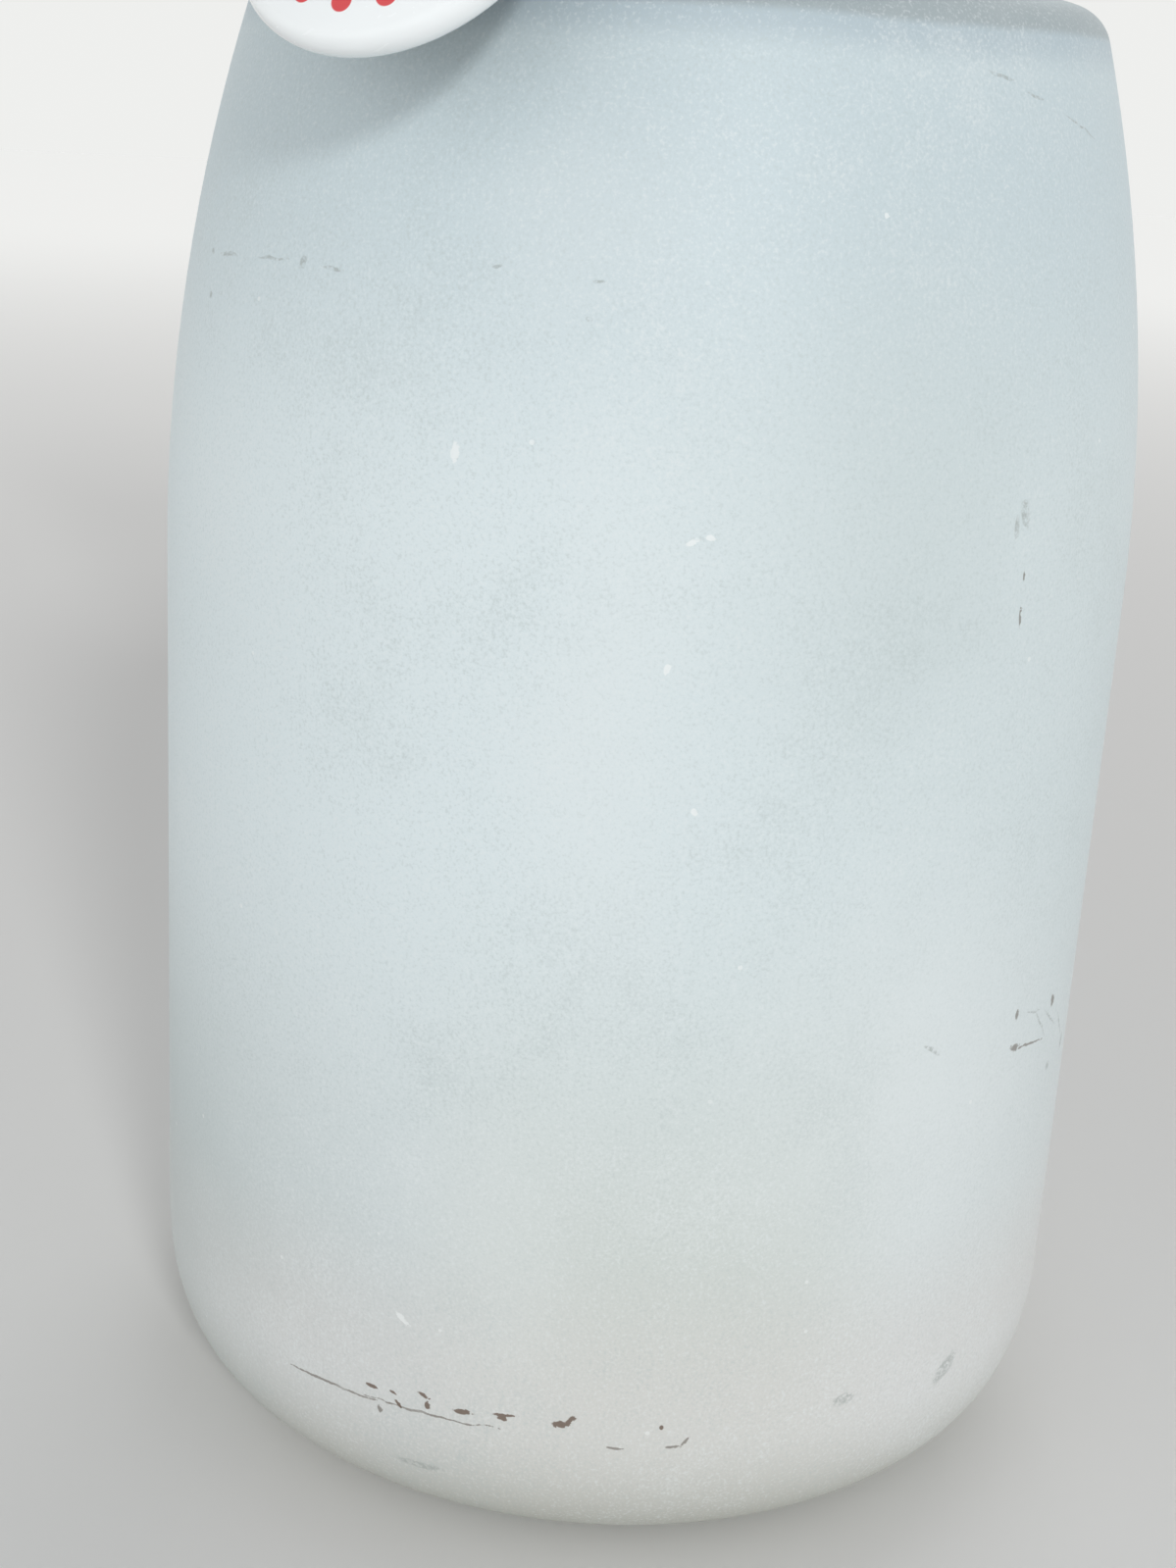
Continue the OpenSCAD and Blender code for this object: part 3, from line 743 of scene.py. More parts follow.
@dataclass(frozen=True)
class BrushedSteel:
    """Stainless steel with fine streaks, finger smears and rubbed spots."""

    name: str
    grain: Grain
    colour: Colour = (0.56, 0.565, 0.57)
    gloss: float = 0.30
    turn: float = 0.0
    tilt: float = 0.0
    streak: float = 0.28 * MM
    shade: float = 0.80
    smear: float = 0.70

    def material(self) -> bpy.types.Material:
        """The metal's material."""
        sheet = MaterialSheet(self.name)
        turn = (Matrix.Rotation(self.tilt, 3, "Y") @ Matrix.Rotation(-self.turn, 3, "Z")).to_euler()
        streaks = sheet.noise(self.streak, detail=3.0, rough=0.65, place=sheet.stretched(self.grain.value, turn))
        smears = sheet.noise(6 * MM, detail=3.0, rough=0.6)
        colour = sheet.mix(streaks.ramp(0.35, 0.70), tuple(self.shade * c for c in self.colour), self.colour)
        smeared = tuple(self.smear * c for c in self.colour)
        colour = sheet.mix(smears.ramp(0.55, 0.80, 0.0, 0.35), colour, smeared)
        roughness = self.gloss + (streaks - 0.5) * 0.20 + smears.ramp(0.50, 0.80, 0.0, 0.14)
        normal = sheet.bump(streaks, 0.012 * MM, strength=0.6)
        return sheet.finish(Base_Color=colour, Metallic=1.0, Roughness=roughness, Normal=normal)


@dataclass(frozen=True)
class Tinplate:
    """Tinned sheet with faint crystals."""

    colour: Colour = (0.58, 0.575, 0.55)
    other: Colour = (0.46, 0.46, 0.45)
    crystal: float = 2.4 * MM

    def material(self) -> bpy.types.Material:
        """The back plate's material."""
        sheet = MaterialSheet("badge_tinplate")
        crystals = sheet.node("ShaderNodeTexVoronoi", None, {"Vector": sheet.place, "Scale": 1 / self.crystal})
        face = sheet.axes(crystals.outputs["Color"])[0]
        haze = sheet.noise(4 * MM, detail=3.0)
        colour = sheet.mix(face.ramp(0.0, 1.0, 0.0, 0.5), self.colour, self.other)
        roughness = 0.26 + face * 0.10 + haze * 0.10
        normal = sheet.bump(haze, 0.05 * MM, strength=0.4)
        return sheet.finish(Base_Color=colour, Metallic=1.0, Roughness=roughness, Normal=normal)


@dataclass(frozen=True)
class BadgeFace:
    """Glossy white print under a clear film, with a plain ring of dots and hairline scratches."""

    white: Colour = (0.945, 0.985, 1.0)
    dusty: Colour = (0.86, 0.885, 0.92)
    dot: Colour = (0.72, 0.045, 0.055)
    dots: int = 18
    ring: float = 14.6 * MM
    dot_radius: float = 1.2 * MM
    metal: Colour = (0.58, 0.575, 0.55)
    dome_h: float = 4.0 * MM
    dome_r: float = 69.45 * MM
    rim_mid_r: float = 17.1 * MM
    rim_mid_z: float = -0.1 * MM
    rim_r: float = 1.9 * MM
    skin: float = 0.15 * MM
    to_badge: Matrix = field(default_factory=Matrix)

    def material(self) -> bpy.types.Material:
        """The badge face's material."""
        sheet = MaterialSheet("badge_white")
        turn = self.to_badge.to_euler()
        inputs = {"Vector": sheet.place, "Location": self.to_badge.to_translation(), "Rotation": turn}
        local = sheet.node("ShaderNodeMapping", None, inputs).outputs[0]
        x, y, z = sheet.axes(local)
        radius = (x * x + y * y).root()
        bare = self._bare(radius, z)
        hair = sheet.noise(0.5 * MM, detail=2.0, rough=0.6, place=sheet.stretched((0.05, 1.0, 1.0), (0.4, 0.3, 0.7)))
        dust = sheet.noise(2.2 * MM, detail=4.0, rough=0.7)
        colour = sheet.mix(dust.ramp(0.55, 0.85, 0.0, 0.12), self.white, self.dusty)
        colour = sheet.mix(self._dots(sheet, x, y, radius), colour, self.dot)
        colour = sheet.mix(bare, colour, self.metal)
        roughness = 0.16 + hair.ramp(0.62, 0.74, 0.0, 0.16) + dust.ramp(0.5, 0.8, 0.0, 0.10) + bare * 0.14
        normal = sheet.bump(hair * 0.3 + dust * 0.3, 0.02 * MM, strength=0.3)
        return sheet.finish(Base_Color=colour, Metallic=bare, Roughness=roughness, Normal=normal, IOR=GLASS_IOR,
                            Coat_Weight=0.5 - bare * 0.5, Coat_Roughness=0.08)

    def _bare(self, radius: Signal, z: Signal) -> Signal:
        """Where the sheet's unprinted inner face is.

        Args:
            radius: The distance from the badge's middle.
            z: The height above the rim's middle.

        Returns:
            A signal that is 1 on the bare metal.
        """
        from_dome = (radius * radius + (z + (self.dome_r - self.dome_h)).squared()).root()
        from_rim = ((radius - self.rim_mid_r).squared() + (z - self.rim_mid_z).squared()).root()
        skin = self.skin
        under_dome = from_dome.ramp(self.dome_r - skin, self.dome_r - 1.2 * skin)
        middle = radius.ramp(self.rim_mid_r, self.rim_mid_r - 0.1 * MM)
        in_curl = from_rim.ramp(self.rim_r - skin, self.rim_r - 1.2 * skin)
        return (under_dome * middle).at_least(in_curl)

    def _dots(self, sheet: NodeSheet, x: Signal, y: Signal, radius: Signal) -> Signal:
        """A ring of round dots about the badge's middle.

        Args:
            sheet: The material's sheet.
            x: The first coordinate on the face.
            y: The second coordinate on the face.
            radius: The distance from the badge's middle.

        Returns:
            A signal that is 1 inside the dots.
        """
        step = math.tau / self.dots
        angle = sheet.signal("ShaderNodeMath", {"operation": "ARCTAN2"}, {0: y, 1: x})
        inputs = {0: angle, 1: step / 2, 2: -step / 2}
        off_line = sheet.signal("ShaderNodeMath", {"operation": "WRAP"}, inputs) * self.ring
        reach = (off_line.squared() + (radius - self.ring).squared()).root()
        return reach.ramp(self.dot_radius * 1.06, self.dot_radius * 0.94)


@dataclass(frozen=True)
class MarkEnamel:
    """Brown fired enamel of the graduation mark, thin in places."""

    colour: Colour = (0.16, 0.055, 0.018)
    worn: Colour = (0.36, 0.20, 0.10)

    def material(self) -> bpy.types.Material:
        """The ring mark's material."""
        sheet = MaterialSheet("mark_enamel")
        thin = sheet.noise(1.4 * MM, detail=3.0, rough=0.6)
        colour = sheet.mix(thin.ramp(0.45, 0.75, 0.0, 0.4), self.colour, self.worn)
        normal = sheet.bump(thin, 0.01 * MM, strength=0.5)
        return sheet.finish(Base_Color=colour, Roughness=0.35 + (thin - 0.5) * 0.2, Normal=normal)


# ------------------------------------------------------------------------------------------------ modelling by hand

class Bench:
    """Modelling steps that several pieces share. Each leaves its object at the origin, with its place in its mesh."""

    @staticmethod
    def clear() -> None:
        """Deselects everything."""
        if bpy.context.object and bpy.context.object.mode != "OBJECT":
            bpy.ops.object.mode_set(mode="OBJECT")
        bpy.ops.object.select_all(action="DESELECT")

    @staticmethod
    def choose(*objects: bpy.types.Object) -> None:
        """Selects just these objects and makes the first one active."""
        Bench.clear()
        for one in objects:
            one.select_set(True)
        bpy.context.view_layer.objects.active = objects[0]

    @staticmethod
    def named(name: str) -> bpy.types.Object:
        """Names the object that was just added, and its mesh, and sets its place into the mesh.

        Args:
            name: The name.

        Returns:
            The object.
        """
        made = bpy.context.object
        bpy.ops.object.transform_apply(location=True, rotation=True, scale=True)
        made.name = name
        made.data.name = name
        return made

    @staticmethod
    def wire(name: str, points: Sequence[Vector], closed: bool) -> bpy.types.Object:
        """Draws a line of edges by extruding one vertex from point to point, and stays in edit mode.

        Args:
            name: The new object's name.
            points: The line's corners.
            closed: Whether the last corner joins the first.

        Returns:
            The new object, in edit mode with all of it selected.
        """
        Bench.clear()
        bpy.ops.mesh.primitive_plane_add(size=MM, location=(0, 0, 0))
        made = Bench.named(name)
        bpy.ops.object.mode_set(mode="EDIT")
        bpy.ops.mesh.select_mode(type="VERT")
        bpy.ops.mesh.select_all(action="SELECT")
        bpy.ops.mesh.merge(type="CENTER")
        bpy.ops.transform.translate(value=points[0])
        for last, point in zip(points, points[1:]):
            bpy.ops.mesh.extrude_vertices_move(TRANSFORM_OT_translate={"value": point - last})
        if closed:
            shape = bmesh.from_edit_mesh(made.data)
            shape.verts.ensure_lookup_table()
            ends = [v for v in shape.verts if len(v.link_edges) == 1]
            for vertex in shape.verts:
                vertex.select_set(vertex in ends)
            shape.select_flush_mode()
            bmesh.update_edit_mesh(made.data)
            bpy.ops.mesh.edge_face_add()
        bpy.ops.mesh.select_all(action="SELECT")
        return made

    @staticmethod
    def turned(name: str, outline: Sequence[Point], steps: int, closed: bool = False,
               start: float = 0.0, sweep: float = math.tau) -> bpy.types.Object:
        """Spins an outline about Z, as on a lathe.

        Args:
            name: The new object's name.
            outline: Radius and height of each corner, in metres.
            steps: The number of steps in the sweep.
            closed: Whether the outline is a loop that stays clear of the axis.
            start: The angle at which a part sweep starts, from +X.
            sweep: The angle swept, clockwise as seen from above.

        Returns:
            The new object, in object mode.
        """
        spoke = [Vector((r * math.cos(start), r * math.sin(start), z)) for r, z in outline]
        made = Bench.wire(name, spoke, closed)
        full = abs(sweep - math.tau) < 1e-6
        if closed and not full:
            bpy.ops.mesh.edge_face_add()
        bpy.ops.mesh.spin(steps=steps, angle=sweep, center=(0, 0, 0), axis=(0, 0, 1))
        bpy.ops.mesh.select_all(action="SELECT")
        bpy.ops.mesh.remove_doubles(threshold=WELD)
        bpy.ops.mesh.normals_make_consistent(inside=False)
        bpy.ops.object.mode_set(mode="OBJECT")
        return made

    @staticmethod
    def prism(name: str, outline: Sequence[Point], width: float) -> bpy.types.Object:
        """Extrudes an outline of the X-Z plane along Y, about the plane.

        Args:
            name: The new object's name.
            outline: X and Z of each corner, in metres.
            width: The extrusion's whole width.

        Returns:
            The new object, in object mode.
        """
        corners = [Vector((x, -width / 2, z)) for x, z in outline]
        made = Bench.wire(name, corners, closed=True)
        bpy.ops.mesh.edge_face_add()
        bpy.ops.mesh.extrude_region_move(TRANSFORM_OT_translate={"value": (0, width, 0)})
        bpy.ops.mesh.select_all(action="SELECT")
        bpy.ops.mesh.normals_make_consistent(inside=False)
        bpy.ops.object.mode_set(mode="OBJECT")
        return made

    @staticmethod
    def rod(name: str, centre: Sequence[float], radius: float, length: float, axis: str = "Z",
            sides: int = 48) -> bpy.types.Object:
        """Adds a round or many-sided rod.

        Args:
            name: The new object's name.
            centre: The rod's middle.
            radius: Its radius, to its corners.
            length: Its length.
            axis: The axis that it lies along, Y or Z.
            sides: How many sides it has.

        Returns:
            The new object.
        """
        Bench.clear()
        turn = (math.pi / 2, 0, 0) if axis == "Y" else (0, 0, 0)
        bpy.ops.mesh.primitive_cylinder_add(vertices=sides, radius=radius, depth=length, location=centre,
                                            rotation=turn)
        return Bench.named(name)

    @staticmethod
    def combine(base: bpy.types.Object, tool: bpy.types.Object, how: str) -> bpy.types.Object:
        """Applies one boolean of a tool object to a base object, and deletes the tool.

        Args:
            base: The object that is changed.
            tool: The object that changes it.
            how: UNION, DIFFERENCE or INTERSECT.

        Returns:
            The base object.
        """
        Bench.choose(base)
        step = base.modifiers.new(how.lower(), "BOOLEAN")
        step.operation = how
        step.solver = "EXACT"
        step.object = tool
        bpy.ops.object.modifier_apply(modifier=step.name)
        bpy.data.objects.remove(tool)
        return base

    @staticmethod
    def soften(piece: bpy.types.Object, width: float, segments: int = 2, angle: float = 32.0) -> bpy.types.Object:
        """Rounds a piece's sharp edges with a bevel, and smooths its shading.

        Args:
            piece: The piece.
            width: The bevel's width, in metres.
            segments: How many faces a bevel has.
            angle: The least angle of an edge that is rounded, in degrees.

        Returns:
            The same piece.
        """
        Bench.choose(piece)
        step = piece.modifiers.new("edges", "BEVEL")
        step.width = width
        step.segments = segments
        step.limit_method = "ANGLE"
        step.angle_limit = math.radians(angle)
        step.use_clamp_overlap = True
        bpy.ops.object.modifier_apply(modifier=step.name)
        Bench.smooth(piece)
        return piece

    @staticmethod
    def smooth(piece: bpy.types.Object, angle: float = 35.0) -> None:
        """Shades a piece smooth, apart from edges sharper than the angle."""
        Bench.choose(piece)
        bpy.ops.object.shade_smooth_by_angle(angle=math.radians(angle))

    @staticmethod
    def carry(piece: bpy.types.Object, place: Matrix) -> bpy.types.Object:
        """Moves a piece that was modelled in another frame, and sets the place into its mesh.

        Args:
            piece: The piece.
            place: The frame it was modelled in.

        Returns:
            The same piece.
        """
        Bench.choose(piece)
        piece.matrix_world = place
        bpy.ops.object.transform_apply(location=True, rotation=True, scale=True)
        return piece

    @staticmethod
    def dress(piece: bpy.types.Object, body: str, finish: bpy.types.Material, slot: str, *nodes: str) -> None:
        """Gives a piece its material, lets it ride on its body, and reports it.

        Args:
            piece: The piece.
            body: The CAD body that it moves with.
            finish: Its material.
            slot: Not used.
            nodes: The CAD nodes that it stands for.
        """
        piece.data.materials.clear()
        piece.data.materials.append(finish)
        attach(piece, body)
        if nodes:
            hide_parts(*nodes)
        log.info("%s: %d faces, rides on %s", piece.name, len(piece.data.polygons), body)


def arc(centre: Point, radius: float, start: float, end: float, steps: int) -> list[Point]:
    """Points of an arc.

    Args:
        centre: The arc's centre.
        radius: Its radius.
        start: The angle of its first point, in degrees.
        end: The angle of its last point, in degrees.
        steps: How many steps it takes.

    Returns:
        The arc's points, both ends included.
    """
    turns = [math.radians(start + (end - start) * i / steps) for i in range(steps + 1)]
    return [(centre[0] + radius * math.cos(a), centre[1] + radius * math.sin(a)) for a in turns]


def hexagon_r(across_flats: float) -> float:
    """The radius to the corners of a hexagon, from its width across its flats."""
    return across_flats / 2 / math.cos(math.radians(30))


# --------------------------------------------------------------------------------------------------- the vessel

@dataclass
class Vessel:
    """The blown glass: foot, barrel body, shoulder, neck, ground socket and mouth bead."""

    body_r: float = 63.5 * MM
    glass_t: float = 3.5 * MM
    floor_t: float = 6.0 * MM
    foot_flat_r: float = 32.0 * MM
    foot_rise: float = 27.0 * MM
    foot_fullness: float = 3.0
    barrel_start: float = 119.0 * MM
    barrel_r: float = 232.0 * MM
    shoulder_h: float = 187.0 * MM
    corner_r: float = 6.0 * MM
    shoulder_slope: float = 14.0
    neck_r: float = 13.75 * MM
    neck_t: float = 2.0 * MM
    sweep_r: float = 10.0 * MM
    mouth_h: float = 330.0 * MM
    mark_h: float = 252.5 * MM
    mark_w: float = 0.5 * MM
    mark_depth: float = 0.15 * MM
    joint_r: float = 14.6 * MM
    joint_len: float = 32.0 * MM
    joint_taper: float = 10.0
    socket_t: float = 2.6 * MM
    socket_flare: float = 6.0 * MM
    bore_step: float = 3.0 * MM
    bead_r: float = 2.0 * MM
    enamel_proud: float = 0.02 * MM
    enamel_top: float = 0.8
    flare_bow: float = 1.15
    steps: int = 192
    foot_steps: int = 32
    side_steps: int = 6
    flare_steps: int = 8

    def __post_init__(self) -> None:
        """Works out where the barrel curve ends and the shoulder corner is centred."""
        self.lean = math.degrees(math.asin((self.shoulder_h - self.barrel_start) / self.barrel_r))
        reach = self.barrel_r - self.corner_r
        turn = math.radians(self.lean)
        self.corner = (self.body_r - self.barrel_r + reach * math.cos(turn),
                       self.barrel_start + reach * math.sin(turn))

    def shoulder_z(self, radius: float, inset: float) -> float:
        """Height of the shoulder's slope.

        Args:
            radius: The distance from the axis.
            inset: How far the face is set in from the outside.

        Returns:
            The height.
        """
        slope = math.radians(self.shoulder_slope)
        start_r = self.corner[0] + (self.corner_r - inset) * math.sin(slope)
        start_z = self.corner[1] + (self.corner_r - inset) * math.cos(slope)
        return start_z + (start_r - radius) * math.tan(slope)

    def neck_start(self, radius: float, sweep: float, inset: float) -> float:
        """Height at which the sweep ends in the straight neck.

        Args:
            radius: The neck's radius at this face.
            sweep: The radius of the sweep.
            inset: How far the face is set in from the outside.

        Returns:
            The height.
        """
        slope = math.radians(self.shoulder_slope)
        foot = radius + sweep * (1 - math.sin(slope))
        return self.shoulder_z(foot, inset) + sweep * math.cos(slope)

    def wall(self, inset: float, base_z: float, neck_r: float, sweep: float) -> list[Point]:
        """One face of the vessel's wall, from its base to its straight neck.

        Args:
            inset: How far the face is set in from the outside.
            base_z: The height of its base.
            neck_r: The neck's radius at this face.
            sweep: The radius of the sweep into the neck.

        Returns:
            The outline's points, from the foot up.
        """
        side = self.body_r - inset
        power = 2 / self.foot_fullness
        points = []
        for i in range(self.foot_steps + 1):
            turn = math.pi / 2 * i / self.foot_steps
            points.append((self.foot_flat_r + (side - self.foot_flat_r) * math.sin(turn) ** power,
                           base_z + (self.foot_rise - base_z) * (1 - max(0.0, math.cos(turn)) ** power)))
        straight = self.barrel_start - self.foot_rise
        points += [(side, self.foot_rise + straight * i / self.side_steps) for i in range(1, self.side_steps)]
        points += arc((self.body_r - self.barrel_r, self.barrel_start), self.barrel_r - inset, 0, self.lean, steps=16)
        points += arc(self.corner, self.corner_r - inset, self.lean, 90 - self.shoulder_slope, steps=12)[1:]
        points += arc((neck_r + sweep, self.neck_start(neck_r, sweep, inset)), sweep,
                      270 - self.shoulder_slope, 180, steps=14)
        return points

    def build_glass(self) -> bpy.types.Object:
        """Spins the vessel's wall, with the groove of the mark and the ground socket."""
        socket_r = self.joint_r + self.socket_t
        joint_z = self.mouth_h - self.joint_len
        flare_top = joint_z - self.bore_step
        half = self.mark_w / 2
        outside = [(0.0, 0.0)] + self.wall(0.0, 0.0, self.neck_r, self.sweep_r)
        outside += [(self.neck_r, self.mark_h - half), (self.neck_r - self.mark_depth, self.mark_h - half),
                    (self.neck_r - self.mark_depth, self.mark_h + half), (self.neck_r, self.mark_h + half)]
        outside += self._flare(flare_top - self.socket_flare, flare_top, self.neck_r, socket_r)
        outside += arc((socket_r, self.mouth_h - self.bead_r), self.bead_r, -90, 90, steps=12)
        bore_r = self.neck_r - self.neck_t
        inside = [(0.0, self.floor_t)] + self.wall(self.glass_t, self.floor_t, bore_r, self.sweep_r + self.glass_t)
        inside += [(bore_r, flare_top), (self.joint_r - self.joint_len / self.joint_taper / 2, joint_z),
                   (self.joint_r, self.mouth_h)]
        glass = Bench.turned("flask_glass", outside + inside[::-1], self.steps)
        Bench.smooth(glass, angle=40)
        return glass

    def _flare(self, low: float, high: float, inner: float, outer: float) -> list[Point]:
        """A slightly hollow flare between two radii, inside the straight cone of the solid's own.

        Args:
            low: The height at which it starts.
            high: The height at which it ends.
            inner: Its radius at the start.
            outer: Its radius at the end.

        Returns:
            The flare's points, from the bottom up.
        """
        steps = self.flare_steps
        return [(inner + (outer - inner) * (i / steps) ** self.flare_bow, low + (high - low) * i / steps)
                for i in range(steps + 1)]

    def build_mark(self) -> bpy.types.Object:
        """The enamel that fills the mark's groove."""
        half = self.mark_w / 2
        top = half * self.enamel_top
        deep, proud = self.neck_r - self.mark_depth, self.neck_r + self.enamel_proud
        ring = Bench.turned("graduation_mark", [
            (deep, self.mark_h - half), (proud, self.mark_h - top),
            (proud, self.mark_h + top), (deep, self.mark_h + half)], self.steps, closed=True)
        Bench.smooth(ring, angle=50)
        return ring

    def make(self) -> None:
        """Builds and dresses the vessel."""
        Bench.dress(self.build_glass(), "flask", FrostedGlass().material(), "frosted_glass", "flask_body")
        Bench.dress(self.build_mark(), "flask", MarkEnamel().material(), "frosted_glass")


# -------------------------------------------------------------------------------------------------- the stopper

@dataclass
class Stopper:
    """The six-sided glass stopper and the waxy sleeve that seals it in the socket."""

    vessel: Vessel
    joint_c: float = 0.05 * MM
    sleeve_t: float = 0.4 * MM
    rest_gap: float = 0.3 * MM
    grip_w: float = 2.6 * MM
    grip_h: float = 1.8 * MM
    grip_edge: float = 0.5 * MM
    grip_ribs: int = 40
    groove_depth: float = 0.35 * MM
    rib_share: float = 0.6
    plug_tip: float = 1.5 * MM
    waist_h: float = 7.0 * MM
    waist_r: float = 10.5 * MM
    head_af: float = 33.0 * MM
    head_h: float = 10.0 * MM
    head_edge: float = 1.2 * MM
    head_dome_r: float = 42.0 * MM
    fillet: float = 0.5 * MM
    hollow_r: float = 7.5 * MM
    hollow_depth: float = 27.0 * MM
    seam: float = 0.005 * MM

    def __post_init__(self) -> None:
        """Works out the heights that follow from the socket."""
        self.drop = self.vessel.joint_len / self.vessel.joint_taper / 2
        self.low_z = self.vessel.mouth_h - self.vessel.joint_len
        self.sleeve_r = self.vessel.joint_r - self.joint_c
        self.plug_r = self.sleeve_r - self.sleeve_t - self.joint_c
        self.grip_z = self.vessel.mouth_h + self.rest_gap
        self.waist_z = self.grip_z + self.grip_h + self.rest_gap
        self.head_z = self.waist_z + self.waist_h

    def build_sleeve(self) -> bpy.types.Object:
        """The thin tapered sleeve, with a ribbed grip ring over the mouth."""
        mouth = self.vessel.mouth_h
        bore = self.sleeve_r - self.sleeve_t
        grip_r = self.vessel.joint_r + self.grip_w
        edge = self.grip_edge
        top = self.grip_z + self.grip_h
        sleeve = Bench.turned("joint_sleeve_skin", [
            (self.sleeve_r - self.drop, self.low_z), (self.sleeve_r, mouth), (self.sleeve_r, self.grip_z),
            (grip_r - edge, self.grip_z), (grip_r, self.grip_z + edge), (grip_r, top - edge), (grip_r - edge, top),
            (bore, top), (bore, mouth), (bore - self.drop, self.low_z)], 4 * self.grip_ribs, closed=True)
        Bench.choose(sleeve)
        bpy.ops.object.mode_set(mode="EDIT")
        shape = bmesh.from_edit_mesh(sleeve.data)
        step = math.tau / self.grip_ribs
        rim_r = grip_r - 0.1 * edge
        for vertex in shape.verts:
            radius = math.hypot(vertex.co.x, vertex.co.y)
            turn = math.atan2(vertex.co.y, vertex.co.x) % step
            vertex.select_set(radius > rim_r and turn > self.rib_share * step)
        shape.select_flush_mode()
        bmesh.update_edit_mesh(sleeve.data)
        inward = 1 - self.groove_depth / grip_r
        bpy.ops.transform.resize(value=(inward, inward, 1.0), center_override=(0, 0, self.grip_z))
        bpy.ops.object.mode_set(mode="OBJECT")
        Bench.smooth(sleeve, angle=30)
        return sleeve

    def build_stopper(self) -> bpy.types.Object:
        """The ground plug, the waist and the faceted, domed head, with the hollow under the plug."""
        end_r = self.plug_r - self.drop
        tip_z = self.low_z - self.plug_tip
        half_waist = self.waist_h / 2
        hollow_top = tip_z + self.hollow_depth
        outline = [(self.hollow_r, tip_z), (end_r - self.plug_tip, tip_z), (end_r, self.low_z),
                   (self.plug_r, self.vessel.mouth_h), (self.plug_r, self.waist_z)]
        outline += arc((self.waist_r + half_waist, self.waist_z + half_waist), half_waist, 270, 90, steps=14)
        outline += [(0.0, self.head_z)]
        hollow = arc((0.0, hollow_top), self.hollow_r, 90, 0, steps=10) + [(self.hollow_r, tip_z)]
        plug = Bench.turned("stopper_glass", outline[::-1] + hollow[::-1][1:], steps=96)
        head = Bench.rod("head", (0, 0, self.head_z + self.head_h / 2 - self.seam),
                         hexagon_r(self.head_af), self.head_h + 2 * self.seam, sides=6)
        Bench.soften(head, self.head_edge, segments=4, angle=50)
        Bench.clear()
        bpy.ops.mesh.primitive_uv_sphere_add(segments=96, ring_count=64, radius=self.head_dome_r,
                                             location=(0, 0, self.head_z + self.head_h - self.head_dome_r))
        dome = Bench.named("dome")
        Bench.combine(head, dome, "INTERSECT")
        stopper = Bench.combine(plug, head, "UNION")
        Bench.soften(stopper, self.fillet, segments=3, angle=40)
        return stopper

    def make(self) -> None:
        """Builds and dresses the sleeve and the stopper."""
        Bench.dress(self.build_sleeve(), "sleeve", WaxyPlastic().material(), "sleeve_plastic", "joint_sleeve")
        glass = StopperGlass(ground_below=self.waist_z).material()
        Bench.dress(self.build_stopper(), "stopper", glass, "stopper_glass", "stopper")


# --------------------------------------------------------------------------------------------------- the collar

